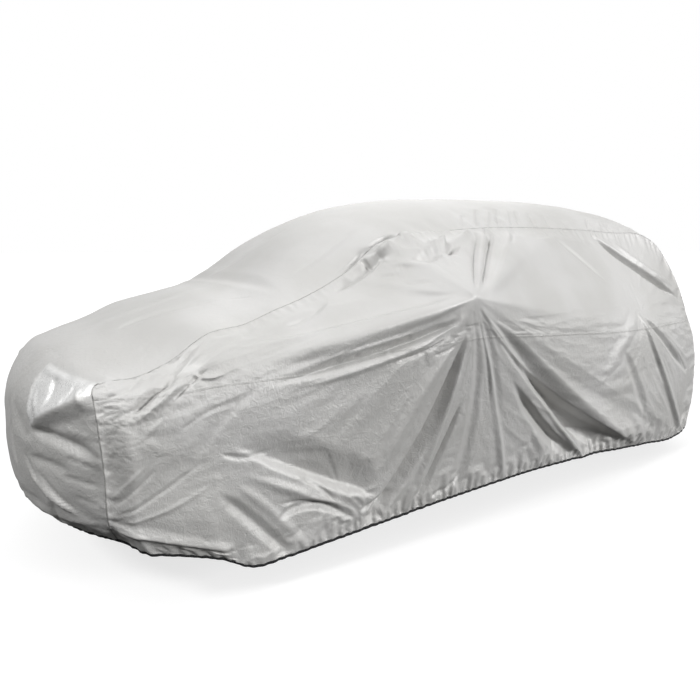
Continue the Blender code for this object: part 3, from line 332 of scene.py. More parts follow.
DOOR_HOLD_REACH = 0.10          # and this much more from the front wheel back
DOOR_HOLD_FROM, DOOR_HOLD_EASE = -1.75, 0.40    # the y at which that sets in, and over what length
SEAM_FADE = 0.09                # how far a side's folds run on past the corner seam into the strip
STRIP_FADE = 0.030              # and how near that seam the strip's own folds end
CREASE_FADE = 0.008             # how near a seam crisp folds end
CRUMPLE_FADE = 0.015            # how near a seam wrinkles and crumples end
RELIEF_HEM_FADE = 0.030         # and how near the hem both do

# ---- how the cloth pulls ---------------------------------
# Points that gather the cloth: y, height, reach, strength. Wrinkles run towards them.
LEFT_PULLS = {
    "mirror":       (-0.655, 1.195, 0.8, 1.0),
    "rear_tip":     (0.985, 1.01, 0.32, 1.2),
    "wheel":        (-1.22, 0.23, 0.3, 1.6),
    "front_corner": (-2.26, 0.4, 0.3, 1.6),
    "lamp":         (-2.2, 0.78, 0.16, 1.6),
    "rear_wheel":   (1.45, 0.2, 0.35, 0.8),
    "pane":         (-0.9, 1.4, 0.16, 1.0),
}
RIGHT_PULLS = {
    "mirror":       (-0.655, 1.195, 0.8, 1.0),
    "rear_tip":     (1.04, 0.98, 0.32, 1.0),
    "wheel":        (-1.28, 0.24, 0.3, 1.6),
    "front_corner": (-2.24, 0.42, 0.3, 1.4),
    "lamp":         (-2.18, 0.8, 0.16, 1.4),
    "rear_wheel":   (1.4, 0.2, 0.35, 0.8),
}
# The same on the strip: x, distance along its edge, reach, strength.
TOP_PULLS = {
    "front_corner": (0.76, 0.1, 0.25, 1.5),
    "lamp":         (0.74, 0.56, 0.18, 1.5),
    "far_corner":   (-0.76, 0.1, 0.25, 1.5),
    "far_lamp":     (-0.74, 0.56, 0.18, 1.5),
    "tail":         (0.0, 5.9, 0.6, 0.5),
}
HEM_PULL, HEM_PULL_REACH = 9.0, 0.045       # pull up and down near the hem, and how far up it reaches
SEAM_PULL = 4.0                             # square to a seam
BELT_PULL, BELT_PULL_REACH = 2.5, 0.012     # square to the belt seam
EVEN_PULL = 0.10                            # along the car or across it, everywhere
# Places with more spare cloth: y, height, half length along y, half height, share of the length to spare.
LEFT_SPARE = {
    "pane":          (-0.66, 1.405, 0.3, 0.075, 0.02),
    "lamp":          (-2.1, 0.84, 0.14, 0.12, 0.016),
    "lamp_back":     (-1.94, 0.93, 0.14, 0.06, 0.014),
    "wing":          (-1.2, 1.03, 0.45, 0.1, 0.006),
    "wheel":         (-1.2, 0.33, 0.26, 0.16, 0.01),
    "behind_mirror": (0.4, 1.08, 0.7, 0.22, -0.016),
    "fender":        (-1.85, 0.68, 0.42, 0.3, -0.008),
    "rear_pane":     (0.6, 1.3, 0.7, 0.12, -0.007),
}
RIGHT_SPARE = {
    "pane":  (-0.7, 1.4, 0.26, 0.07, 0.016),
    "lamp":  (-2.08, 0.85, 0.14, 0.12, 0.014),
    "wing":  (-1.25, 1.02, 0.4, 0.1, 0.006),
    "wheel": (-1.26, 0.34, 0.26, 0.16, 0.01),
}
# The same on the strip: x, distance along its edge, half width, half length, share.
TOP_SPARE = {
    "lamp":      (0.6, 0.56, 0.16, 0.13, 0.01),
    "far_lamp":  (-0.6, 0.56, 0.16, 0.13, 0.008),
    "bumper":    (0.52, 0.26, 0.28, 0.14, 0.008),
    "roof_edge": (0.5, 3.1, 0.12, 0.6, 0.01),
    "roof_rear": (0.52, 4.15, 0.12, 0.22, 0.01),
    "far_edge":  (-0.5, 3.2, 0.12, 0.6, 0.008),
    "tail":      (0.0, 5.3, 0.6, 0.5, 0.008),
}
SPARE = 0.0105                  # share of the length to spare all over the sides
LEAST_SPARE = 0.001             # and the least of it
TOP_SPARE_ALL = 0.0012          # the share all over the strip
FRONT_SPARE, TAIL_SPARE = 0.2, 0.6      # more of it on the front and the tail, as a share of SPARE
UNEVEN = 0.6                    # how unevenly the spare cloth is spread
SIDE_CELL = (26, 22)            # in cells of this many points, down and along a side
STRIP_CELL = (14, 14)           # and along and across the strip
HEM_SPARE = 0.110               # share to spare at the hem, along it
HEM_REACH = 0.060               # over this height
HEM_UNEVEN, HEM_CELL = 0.5, 9   # how unevenly that is spread, in cells of this many points
STRIP_HEM_SPARE = 0.7           # how much of it the strip has
WHEEL_SHARE = 0.25              # and a side in front of the wheel
WHEEL_FROM, WHEEL_EASE = -1.7, 0.5      # the y at which the rest sets in, and over what length
SEAM_SPARE = 0.016              # share to spare along a seam
SEAM_REACH = 0.022              # over this distance from it
STRIP_SEAM_SPARE = 0.8          # how much of it the strip has
BELT_SPARE, BELT_SPARE_REACH = 0.5, 0.015       # and the belt seam, over what distance
ROOF_PLEATS = (0.12, 0.50, 1.6)         # the roof edge's pleats: middle and half length, how much more
REAR_PLEATS = (1.00, 0.25, 1.2)         # the same at its rear end
CORNER_PLEATS = (-2.12, 0.06, 1.2)      # more gathers in front of this y, over what length, how much more

# ---- the crisp relief ------------------------------------
# Places where the cloth is crumpled into facets: y, height, half length along y, half height, depth.
LEFT_CRUMPLES = {
    "pane":       (-0.6, 1.42, 0.26, 0.055, 0.008),
    "pane_front": (-0.95, 1.34, 0.14, 0.04, 0.012),
    "lamp":       (-2.12, 0.85, 0.1, 0.09, 0.002),
    "lamp_back":  (-1.93, 0.965, 0.1, 0.035, 0.014),
    "wheel":      (-1.22, 0.33, 0.2, 0.12, 0.007),
    "rear_pane":  (1.0, 1.47, 0.24, 0.04, 0.006),
    "rear_door":  (0.5, 0.84, 0.28, 0.14, 0.0035),
}
RIGHT_CRUMPLES = {
    "pane":      (-0.72, 1.42, 0.24, 0.065, 0.011),
    "lamp":      (-2.07, 0.86, 0.13, 0.1, 0.008),
    "lamp_back": (-1.88, 0.97, 0.12, 0.05, 0.008),
    "wheel":     (-1.28, 0.34, 0.2, 0.12, 0.006),
}
# The same on the strip: x, distance along its edge, half width, half length, depth.
TOP_CRUMPLES = {
    "lamp":      (0.56, 0.59, 0.16, 0.1, 0.006),
    "far_lamp":  (-0.6, 0.56, 0.14, 0.12, 0.004),
    "bumper":    (0.58, 0.23, 0.2, 0.1, 0.004),
    "roof_edge": (0.54, 3.15, 0.05, 0.5, 0.005),
    "rear_edge": (0.54, 4.2, 0.06, 0.25, 0.011),
}
CRUMPLE_SIZES = (0.150, 0.075)  # length of a facet's side, large to small
CRUMPLE_STRETCH = 0.8           # how much shorter it is across
CRUMPLE_SKEW, CRUMPLE_EVEN = 0.5, 1.3   # how askew its sides are, and what the sum of all sizes is divided by
CRUMPLE_DRAWS = 64              # heights drawn each way before they repeat
CRUMPLE_SWAY, SWAY_CELL = 0.5, 50       # how far the facets wander from a grid, in cells of this many points
# Flat turned-down facets of the slack over the side windows: how steep, and their corners, anticlockwise.
LEFT_FACETS = {
    "seam_wedge": (1.3, ((-0.86, 1.412), (-0.77, 1.424), (-0.626, 1.48), (-0.7, 1.466))),
    "front_facet": (1.2, ((-0.813, 1.413), (-0.712, 1.415), (-0.64, 1.438), (-0.727, 1.471), (-0.799, 1.444))),
    "middle_facet": (1.0, ((-0.712, 1.357), (-0.582, 1.399), (-0.509, 1.464), (-0.64, 1.438), (-0.799, 1.368))),
    "rear_facet": (1.0, ((-0.553, 1.386), (-0.291, 1.48), (-0.234, 1.505), (-0.451, 1.461), (-0.596, 1.39))),
    "pillar_facet": (1.3, ((-0.985, 1.325), (-0.892, 1.365), (-0.808, 1.428), (-0.86, 1.418), (-0.995, 1.352))),
}
RIGHT_FACETS = {
    "front_facet": (1.1, ((-0.9, 1.38), (-0.84, 1.372), (-0.7, 1.396), (-0.64, 1.44), (-0.78, 1.44))),
    "rear_facet": (1.0, ((-0.62, 1.4), (-0.5, 1.392), (-0.36, 1.45), (-0.35, 1.48), (-0.5, 1.46))),
}
FACET_EDGE = 0.011              # over this distance a facet's edge rises
# Where the sides' coating is smoother, with a painted highlight on it: y, height, half length along y, half
# height, share; and the outline of such a patch on the front: x, height.
SIDE_GLOSS_AND_PAINTED_HIGHLIGHT = {"lamp_back": (-1.93, 0.970, 0.05, 0.020, 0.25)}
LAMP_GLOSS_AND_PAINTED_HIGHLIGHT = ((0.32, 0.955), (0.385, 0.70), (0.755, 0.885), (0.73, 0.925))
LAMP_GLOSS_HIGHLIGHT_EDGE = 0.014         # over this distance it sets in
WRINKLES = ((12, 50, 0.0016), (6, 26, 0.0011), (3.4, 14, 0.0003))      # points across, points along, height
TOP_WRINKLED, FRONT_WRINKLED = 0.25, 0.4        # share of it on the strip, and more on front and tail
PUCKER = 0.0030                 # height of the gathers along the seams
PUCKER_REACH = 0.014            # how far they run
PUCKER_START = 0.006            # how far from the stitches they are at their full height
PUCKER_LENGTHS = (0.026, 0.060)         # shortest and longest
SEAM_RIPPLE = 0.0011            # how far a seam's own line stands out and in
SEAM_RIPPLE_LENGTHS = (0.020, 0.055)
HEM_RIPPLE = 0.0040             # and the hem's
HEM_RIPPLE_LENGTHS = (0.030, 0.085)
HEM_RIPPLE_IN = 0.2             # share of it by which the hem lies in
HEM_RIPPLE_UP = 0.3             # and share by which its gathers ride up
HEM_RIPPLE_FADE = 0.05          # it fades over this distance from a corner seam
HEM_PUCKER = 0.0075             # height of the gathers over the elastic
HEM_PUCKER_LENGTHS = (0.028, 0.080)
HEM_PUCKER_REACH = 0.055        # how far up they run
HEM_PUCKER_START = 0.012        # how far above the hem they are at their full height
HEM_PUCKER_SWAY, HEM_SWAY_CELL = 0.25, 30       # how far they lean, in cells of this many points

# ---- how the cloth settles -------------------------------
STRETCH, SHEAR = 1.0, 0.40      # how stiff the cloth is along its threads and askew to them, 0 to 1
BEND = 0.0014                   # how much it resists bending
DRIFT = 0.90                    # share of its movement that it keeps from one round to the next
LINKS = (((1, 0), STRETCH), ((0, 1), STRETCH), ((1, 1), SHEAR), ((1, -1), SHEAR))
HOLD = 0.0006                   # how firmly the cloth leans back to its rest shape at each round
BELT_HOLD, BELT_HOLD_REACH = 0.10, 0.008        # how much more at the belt seam, and how far from it
TIP_HOLD, TIP_HOLD_REACH = 0.10, 0.050          # and at the mirror's tip
ROUNDS = (260, 60)              # rounds of relaxing at half and at full fineness
KICK = 1.30                     # how high the seeds of the wrinkles are to start with
# Those seeds: points across, points along, and share of the height that the spare length allows.
KICKS = ((16, 60, 0.9), (9, 40, 0.8), (5, 22, 0.6), (3, 12, 0.35))
STREAK_STEPS = 12               # steps in which noise is drawn out along the wrinkles, each way
EDGE_BLEND = 0.10               # over this far from an edge the smooth shape leads into the seam
NOSE_ROUNDING = 0.11            # half the length over which the strip is rounded at the front corner
NOSE_SAMPLES = 13
NOSE_EDGE = 0.08                # it sets in over this distance from the strip's edge
NOSE_REACH = 0.26               # and over this length of the strip
FRONT_EASE = 0.15               # over this length front and tail give way to the top
# First number of each random draw; a side adds its sign.
DRAW = {
    "seam": 31, "side_hem": 51, "front_hem": 61, "rear_hem": 62, "side_spare": 71, "hem_spare": 75,
    "elastic": 81, "strip_spare": 91, "puckers": 131, "hem_puckers": 151, "hem_sway": 152, "side": 200,
    "strip": 300, "side_wrinkles": 400, "strip_wrinkles": 460, "side_crumples": 500, "strip_crumples": 560,
}
DRAW_APART = 40                 # but to those of wrinkles and crumples it adds this times its sign


# ---- curves and folds ------------------------------------
def smooth_through(knots, rows, at):
    """Value at each 'at' of the smooth line through the rows of a table, which lie at the knots."""
    knots = np.asarray(knots, float)
    rows = np.asarray(rows, float)
    step = np.diff(knots)[:, None]
    slope = np.diff(rows, axis=0) / step
    inner = (slope[:-1] * step[1:] + slope[1:] * step[:-1]) / (step[:-1] + step[1:])
    tangent = np.vstack([slope[:1], inner, slope[-1:]])
    at = np.clip(np.asarray(at, float), knots[0], knots[-1])
    i = np.clip(np.searchsorted(knots, at, side="right") - 1, 0, len(knots) - 2)
    width = step[i]
    f = (at - knots[i])[..., None] / width
    near = (1 + 2 * f) * (1 - f) ** 2 * rows[i] + f * (1 - f) ** 2 * width * tangent[i]
    far = f * f * (3 - 2 * f) * rows[i + 1] + f * f * (f - 1) * width * tangent[i + 1]
    return near + far


def smoothstep(x):
    x = np.clip(x, 0, 1)
    return x * x * (3 - 2 * x)


def fold_rise(fold, a, b):
    """How far one fold lifts the cloth at the points (a, b)."""
    start, middle, end, *sizes, crest, lean = fold
    width_start, width_end, rise_start, rise_end = np.array(sizes) / 1000
    f = np.linspace(0, 1, FOLD_POINTS)[:, None]
    start, middle, end = np.array(start), np.array(middle), np.array(end)
    bend = 2 * middle - 0.5 * (start + end)
    path = (1 - f) ** 2 * start + 2 * f * (1 - f) * bend + f * f * end
    widest = 1.5 * max(width_start, width_end)
    low, high = path.min(axis=0) - widest, path.max(axis=0) + widest
    chosen = (a > low[0]) & (a < high[0]) & (b > low[1]) & (b < high[1])
    rise = np.zeros(a.shape)
    a, b = a[chosen], b[chosen]
    near = np.full(a.shape, np.inf)
    along = np.zeros(a.shape)
    side = np.zeros(a.shape)
    for k in range(FOLD_POINTS - 1):
        run = path[k + 1] - path[k]
        g = np.clip(((a - path[k, 0]) * run[0] + (b - path[k, 1]) * run[1]) / (run @ run), 0, 1)
        off_a, off_b = a - path[k, 0] - g * run[0], b - path[k, 1] - g * run[1]
        away = np.hypot(off_a, off_b)
        closer = away < near
        near = np.where(closer, away, near)
        along = np.where(closer, (k + g) / (FOLD_POINTS - 1), along)
        side = np.where(closer, np.sign(run[0] * off_b - run[1] * off_a), side)
    fade = smoothstep(along / FOLD_FADE)
    if abs(path[-1, 1]) > FOLD_OPEN_END:
        fade = fade * smoothstep((1 - along) / FOLD_FADE)
    width = (width_start + (width_end - width_start) * along) * (1 + lean * side)
    width = width * (FOLD_START_WIDTH + (1 - FOLD_START_WIDTH) * fade)
    across = np.clip(near / width, 0, 1)
    shape = (1 - crest) * (1 - across ** 2) ** 2 + crest * (1 - across) ** CREST_POWER
    rise[chosen] = (rise_start + (rise_end - rise_start) * along) * fade * shape
    return rise


def folds_rise(folds, a, b):
    return sum(fold_rise(fold, a, b) for fold in folds.values())


def unit(vectors):
    return vectors / np.linalg.norm(vectors, axis=-1, keepdims=True)


def run_length(points, axis):
    """Distance along a net from its first row or column, in the direction of an axis."""
    steps = np.linalg.norm(np.diff(points, axis=axis), axis=-1)
    return np.concatenate([np.zeros_like(np.take(steps, [0], axis)), np.cumsum(steps, axis)], axis)


def knots_along(rows):
    """Distance of each row of a table from the first one, along the line through them."""
    return np.concatenate([[0], np.cumsum(np.linalg.norm(np.diff(rows, axis=0), axis=1))])


def points_at(at, knots, line):
    """Points of a line, or its directions, at each 'at', from those at its knots."""
    return np.stack([np.interp(at, knots, line[:, k]) for k in range(3)], -1)


def ripple(s, seed, shortest, longest, waves=9):
    """An uneven wave along a line, about 1 high at its highest."""
    draw = np.random.default_rng(seed)
    total = np.zeros_like(s)
    for _ in range(waves):
        length = draw.uniform(shortest, longest)
        swell = 0.5 + 0.5 * np.sin(2 * pi * s / draw.uniform(4, 12) / length + draw.uniform(0, 2 * pi))
        total += swell * np.sin(2 * pi * s / length + draw.uniform(0, 2 * pi))
    return total / (0.5 * waves)


def cloud(shape, cells, seed):
    """Smooth random field from -1 to 1 on a net, with this many cells along each direction."""
    rows, columns = (max(2, int(count)) for count in cells)
    values = np.random.default_rng(seed).uniform(-1, 1, (rows + 1, columns + 1))
    first = smooth_through(np.arange(rows + 1), values, np.linspace(0, rows, shape[0]))
    return smooth_through(np.arange(columns + 1), first.T, np.linspace(0, columns, shape[1])).T


# ---- the smooth shape of the cover -----------------------
SECTIONS = list(STRIP)
STRIP_ROWS = np.array([STRIP[name] for name in SECTIONS])
EDGE_ROWS, CENTRE_ROWS = STRIP_ROWS[:, :3], STRIP_ROWS[:, 3:5]
EDGE_KNOTS, CENTRE_KNOTS = knots_along(EDGE_ROWS), knots_along(CENTRE_ROWS)
CORNER_NAMES = (("front_corner", "lamp_top", "lamp", "bumper", "front_tuck", "front_hem"),
                ("tail_corner", "tail_shoulder", "tail_belt", "rear_bumper", "rear_tuck", "rear_hem"))


def station(section):
    """Distance along the strip's edge, from the front hem, at a named section."""
    return EDGE_KNOTS[SECTIONS.index(section)]


def evenly_through(knots, values, at):
    """Value at each 'at' of a line through rising values that never falls."""
    step = np.diff(knots)
    slope = np.diff(values) / step
    inner = 2 * slope[:-1] * slope[1:] / (slope[:-1] + slope[1:])
    tangent = np.concatenate([slope[:1], inner, slope[-1:]])
    i = np.clip(np.searchsorted(knots, at, side="right") - 1, 0, len(knots) - 2)
    f = np.clip((at - knots[i]) / step[i], 0, 1)
    near = (1 + 2 * f) * (1 - f) ** 2 * values[i] + f * (1 - f) ** 2 * step[i] * tangent[i]
    return near + f * f * (3 - 2 * f) * values[i + 1] + f * f * (f - 1) * step[i] * tangent[i + 1]


def strip_point(s, t):
    """Point of the strip at a distance s along its edge and t from -1 to 1 across it."""
    edge_x, edge_y, edge_height, _, _, crown = np.moveaxis(smooth_through(EDGE_KNOTS, STRIP_ROWS, s), -1, 0)
    centre_s = evenly_through(EDGE_KNOTS, CENTRE_KNOTS, s)
    centre_y, centre_height = np.moveaxis(smooth_through(CENTRE_KNOTS, CENTRE_ROWS, centre_s), -1, 0)
    rise = 1 - np.abs(t) ** crown
    y = edge_y + (centre_y - edge_y) * rise
    height = edge_height + (centre_height - edge_height) * rise
    return np.stack([edge_x * t, y, height], -1)


def side_lines(share):
    """The side's six lines at a share 0 to 1 of the way from the front corner to the tail corner."""
    lines = []
    for first, last, rows in SIDE_LINES.values():
        ends = [EDGE_ROWS[SECTIONS.index(name)][[1, 0, 2]] for name in (first, last)]
        table = np.vstack([ends[0], rows, ends[1]])
        y = table[0, 0] + (table[-1, 0] - table[0, 0]) * share
        x_height = smooth_through(table[:, 0], table[:, 1:], y)
        lines.append(np.stack([x_height[..., 0], y, x_height[..., 1]], -1))
    return lines


def mirror_cone(y, height):
    """x of the cloth stretched straight from the mirror's tip to the side."""
    tip_x, tip_y, tip_height = MIRROR_TIP
    lines = np.array(MIRROR_LINES)
    angle = lines[:, 0]
    away = np.hypot(y - tip_y, height - tip_height)
    away = np.hypot(away, MIRROR_TIP_RADIUS) - MIRROR_TIP_RADIUS
    turn = np.degrees(np.arctan2(height - tip_height, y - tip_y))
    turn = np.where(turn < angle[0], turn + 360, turn)
    reach, end_x = np.moveaxis(smooth_through(angle, lines[:, 1:], turn), -1, 0)
    return tip_x + (end_x - tip_x) * away / reach


def side_grid(stations, levels):
    """Points of the left side: a column for each station of the top seam and a row for each level.

    A level is counted in lines: 0 is the top seam, 1 the shoulder, 2 the belt seam and so on to 5, the hem.
    """
    top = smooth_through(EDGE_KNOTS, EDGE_ROWS, stations)
    share = (top[:, 1] - top[0, 1]) / (top[-1, 1] - top[0, 1])
    lines = np.stack([top] + side_lines(share))
    grid = np.empty((len(stations), len(levels), 3))
    for column in range(len(stations)):
        rows = lines[:, column]
        knots = knots_along(rows)
        grid[column] = smooth_through(knots, rows, np.interp(levels, np.arange(len(rows)), knots))
    cone = mirror_cone(grid[..., 1], grid[..., 2])
    apart = grid[..., 0] - cone
    grid[..., 0] = 0.5 * (grid[..., 0] + cone + np.hypot(apart, MIRROR_BLEND) - MIRROR_EASE)
    return grid


def levels_for(upper_rows, lower_rows):
    """Levels of the rows of a side, divided between its lines by their shares."""
    gaps = [upper_rows * share for share in UPPER_SHARES] + [lower_rows * share for share in LOWER_SHARES]
    marks = np.concatenate([[0], np.cumsum(gaps)])
    return np.interp(np.arange(upper_rows + lower_rows + 1), marks, np.arange(6))


def corner_stations(levels):
    """Stations of the strip's edge at each level of the front corner and of the tail corner."""
    return [np.interp(levels, np.arange(6), [station(name) for name in names]) for names in CORNER_NAMES]


def column_stations(count):
    """Stations of a side's columns, evenly spaced along the top seam."""
    return np.linspace(station("front_corner"), station("tail_corner"), count + 1)


def net_normals(points):
    """Unit normal at each point of a net, outwards where the left side's is."""
    along, down = np.gradient(points, axis=0), np.gradient(points, axis=1)
    return unit(np.cross(down, along))


def pleated(y):
    """How much more the top seam is gathered in its pleated stretches."""
    pleats = ROOF_PLEATS, REAR_PLEATS
    return 1 + sum(more * np.exp(-((y - middle) / half) ** 2) for middle, half, more in pleats)


# ---- relaxing a net as cloth that is slightly too large --
def batches(shape, step):
    """Slices of the pairs of points that are a step apart, in batches where no point is met twice."""
    i, j = step
    rows, columns = shape
    if j < 0:
        near, far = slice(-j, columns), slice(0, columns + j)
    else:
        near, far = slice(0, columns - j), slice(j, columns)
    if i == 0:
        for first in range(2 * j):
            left = slice(first, columns - j, 2 * j)
            yield ((slice(None), left), (slice(None), slice(first + j, columns, 2 * j)))
    else:
        for first in range(2 * i):
            yield ((slice(first, rows - i, 2 * i), near), (slice(first + i, rows, 2 * i), far))


def grown_links(rest, plane, pull, spare):
    """Pairs of slices with the length that the cloth has between them, and the stiffness.

    plane holds the places of the points on a plane and pull the direction tensor of the wrinkles there; the
    spare length lies square to them.
    """
    links = []
    for step, stiffness in LINKS:
        for near, far in batches(rest.shape[:2], step):
            length = np.linalg.norm(rest[far] - rest[near], axis=-1)
            run = unit(plane[far] - plane[near] + 1e-9)
            tensor = 0.5 * (pull[near] + pull[far])
            along = run[..., 0] ** 2 * tensor[..., 0] + run[..., 1] ** 2 * tensor[..., 1]
            along += 2 * run[..., 0] * run[..., 1] * tensor[..., 2]
            share = 0.5 * (spare[near] + spare[far]) * np.clip(1 - along, 0, 1)
            links.append((near, far, length * (1 + share), stiffness))
    return links


def bowed(field):
    """How far each point of a field lies from the mean of its neighbours, four times over."""
    result = np.zeros_like(field)
    result[1:-1, 1:-1] = (
        4 * field[1:-1, 1:-1] - field[2:, 1:-1] - field[:-2, 1:-1] - field[1:-1, 2:] - field[1:-1, :-2])
    return result


def relax(points, rest, links, hold, rounds, fixed):
    """Let the cloth find its folds: each link seeks its length, and each point leans back to its place."""
    before = points.copy()
    for turn in range(rounds):
        drift = DRIFT * (points - before)
        before = points.copy()
        points = points + drift
        points += hold * (rest - points)
        for near, far, length, stiffness in links:
            a, b = points[near], points[far]
            apart = b - a
            now = np.sqrt(np.einsum("ijk,ijk->ij", apart, apart))
            shift = apart * (0.5 * stiffness * (now - length) / now)[..., None]
            a += shift
            b -= shift
        for place, values in fixed:
            points[place] = values
        points -= BEND * bowed(bowed(points - rest))
    return points


def twice_as_fine(net):
    """A net with a point more between every two, on a smooth line through its neighbours."""
    for axis in (0, 1):
        net = np.moveaxis(net, axis, 0)
        padded = np.concatenate([2 * net[:1] - net[1:2], net, 2 * net[-1:] - net[-2:-1]])
        between = (9 * (padded[1:-2] + padded[2:-1]) - padded[:-3] - padded[3:]) / 16
        fine = np.empty((2 * len(net) - 1,) + net.shape[1:])
        fine[::2] = net
        fine[1::2] = between
        net = np.moveaxis(fine, 0, axis)
    return net


def pull_tensor(a, b, pulls, extra):
    """Direction tensor (aa, bb, ab) of the wrinkles at each place, with trace 1.

    pulls are points that wrinkles run towards; extra is a list of (weight, direction) over the whole net.
    """
    tensor = np.zeros(a.shape + (3,))
    total = np.full(a.shape, 1e-6)
    for centre_a, centre_b, reach, strength in pulls.values():
        away_a, away_b = a - centre_a, b - centre_b
        away = np.hypot(away_a, away_b) + 1e-6
        weight = strength / (1 + (away / reach) ** 2)
        squares = np.stack([away_a ** 2, away_b ** 2, away_a * away_b], -1)
        tensor += weight[..., None] * squares / away[..., None] ** 2
        total += weight
    for weight, (run_a, run_b) in extra:
        tensor += weight[..., None] * np.array([run_a ** 2, run_b ** 2, run_a * run_b])
        total += weight
    return tensor / total[..., None]


def read_between(field, i, j):
    """Values of a field between its points."""
    i, j = np.clip(i, 0, field.shape[0] - 1.001), np.clip(j, 0, field.shape[1] - 1.001)
    low_i, low_j = i.astype(int), j.astype(int)
    f, g = i - low_i, j - low_j
    if field.ndim > 2:
        f, g = f[..., None], g[..., None]
    near = field[low_i, low_j] * (1 - g) + field[low_i, low_j + 1] * g
    far = field[low_i + 1, low_j] * (1 - g) + field[low_i + 1, low_j + 1] * g
    return near * (1 - f) + far * f


def wrinkle_ways(plane, pull):
    """Direction of the wrinkles on a net, in steps of its rows and columns."""
    turn = 0.5 * np.arctan2(2 * pull[..., 2], pull[..., 0] - pull[..., 1])
    run_a, run_b = np.cos(turn), np.sin(turn)
    by_row, by_column = np.gradient(plane, axis=0), np.gradient(plane, axis=1)
    det = by_row[..., 0] * by_column[..., 1] - by_row[..., 1] * by_column[..., 0]
    det = np.where(np.abs(det) < 1e-9, 1e-9, det)
    along_i = (run_a * by_column[..., 1] - run_b * by_column[..., 0]) / det
    along_j = (run_b * by_row[..., 0] - run_a * by_row[..., 1]) / det
    return unit(np.stack([along_i, along_j], -1))


def streaks(shape, cell, reach, ways, seed):
    """Random field from about -1 to 1, a cell of points across and drawn out along the wrinkles."""
    noise = cloud(shape, (shape[0] / cell, shape[1] / cell), seed)
    place_i, place_j = np.meshgrid(np.arange(shape[0]), np.arange(shape[1]), indexing="ij")
    total = noise.copy()
    for sign in (1, -1):
        i, j = place_i.astype(float), place_j.astype(float)
        way = sign * ways
        for _ in range(STREAK_STEPS):
            i, j = i + way[..., 0] * reach / STREAK_STEPS, j + way[..., 1] * reach / STREAK_STEPS
            total += read_between(noise, i, j)
            ahead = read_between(ways, i, j)
            way = ahead * np.where(np.sum(ahead * way, axis=-1) < 0, -1, 1)[..., None]
    return total / (0.75 * (2 * STREAK_STEPS + 1) ** 0.75)


def settle(rest, normals, plane, pull, spare, hold, edges, seed):
    """Relax a net at half its fineness, then at its full fineness."""
    coarse_rounds, full_rounds = ROUNDS
    coarse = (slice(None, None, 2), slice(None, None, 2))
    shape = rest.shape[:2]
    ways = wrinkle_ways(plane, pull)
    grain = 0.5 * (np.linalg.norm(np.gradient(rest, axis=0), axis=-1).mean()
                   + np.linalg.norm(np.gradient(rest, axis=1), axis=-1).mean())
    lift = sum(share * cell * streaks(shape, cell, reach, ways, seed + n)
               for n, (cell, reach, share) in enumerate(KICKS))
    lift *= grain * np.sqrt(np.maximum(spare, 0)) * KICK
    points = rest + lift[..., None] * normals
    links = grown_links(rest[coarse], plane[coarse], pull[coarse], spare[coarse])
    fixed = [(place, values[::2]) for place, values in edges]
    for place, values in fixed:
        points[coarse][place] = values
    points = relax(points[coarse].copy(), rest[coarse], links, hold[coarse][..., None], coarse_rounds, fixed)
    points = twice_as_fine(points)
    links = grown_links(rest, plane, pull, spare)
    return relax(points, rest, links, hold[..., None], full_rounds, edges)


# ---- the crisp relief ------------------------------------
def patches(a, b, table):
    """Sum of the soft patches of a table at each place."""
    total = np.zeros(a.shape)
    for centre_a, centre_b, half_a, half_b, share in table.values():
        total += share * np.exp(-((a - centre_a) / half_a) ** 2 - ((b - centre_b) / half_b) ** 2)
    return total


def inside(a, b, outline):
    """Distance in from the nearest side of an outline with anticlockwise corners; below zero outside."""
    nearest = np.full(a.shape, np.inf)
    for (a_0, b_0), (a_1, b_1) in zip(outline, outline[1:] + outline[:1]):
        across = (a_1 - a_0) * (b - b_0) - (b_1 - b_0) * (a - a_0)
        nearest = np.minimum(nearest, across / np.hypot(a_1 - a_0, b_1 - b_0))
    return nearest


def creased(shape, ways, seed):
    """Sharp faint creases along the wrinkles, in metres, in uneven patches."""
    total = np.zeros(shape)
    for n, (cell, reach, height) in enumerate(WRINKLES):
        ridge = 1 - 2.2 * np.abs(streaks(shape, cell, reach, ways, seed + n))
        patchy = cloud(shape, (shape[0] / cell / 5, shape[1] / cell / 5), seed + 20 + n)
        patchy = smoothstep(0.5 + 0.9 * patchy)
        total += height * ridge * patchy
    return total


def faceted(a, b, seed):
    """Crumpled cloth from -1 to 1 as flat triangles with sharp edges between them."""
    total = np.zeros(a.shape)
    draw = np.random.default_rng(seed)
    for size in CRUMPLE_SIZES:
        turn = draw.uniform(0, pi)
        rows, columns = a.shape
        cells = (rows / SWAY_CELL, columns / SWAY_CELL)
        sway = [CRUMPLE_SWAY * cloud(a.shape, cells, seed + n) for n in (1, 2)]
        u = (a * cos(turn) + b * sin(turn)) / size + sway[0]
        v = (b * cos(turn) - a * sin(turn)) / size / CRUMPLE_STRETCH + CRUMPLE_SKEW * u + sway[1]
        low_u, low_v = np.floor(u).astype(int), np.floor(v).astype(int)
        f, g = u - low_u, v - low_v
        heights = draw.uniform(-1, 1, (CRUMPLE_DRAWS, CRUMPLE_DRAWS))
        corner = [[heights[(low_u + i) % CRUMPLE_DRAWS, (low_v + j) % CRUMPLE_DRAWS] for j in (0, 1)]
                  for i in (0, 1)]
        near = corner[0][0] * (1 - f - g) + corner[1][0] * f + corner[0][1] * g
        far = corner[1][1] * (f + g - 1) + corner[1][0] * (1 - g) + corner[0][1] * (1 - f)
        total += np.where(f + g < 1, near, far) * size / CRUMPLE_SIZES[0]
    return total / CRUMPLE_EVEN


def turned_down(a, b, facets):
    """Flat facets whose tops stand out of the cloth and whose feet lie in it."""
    total = np.zeros(a.shape)
    for steep, outline in facets.values():
        middle = sum(corner[1] for corner in outline) / len(outline)
        total += steep * (b - middle) * np.clip(inside(a, b, outline) / FACET_EDGE, 0, 1)
    return total


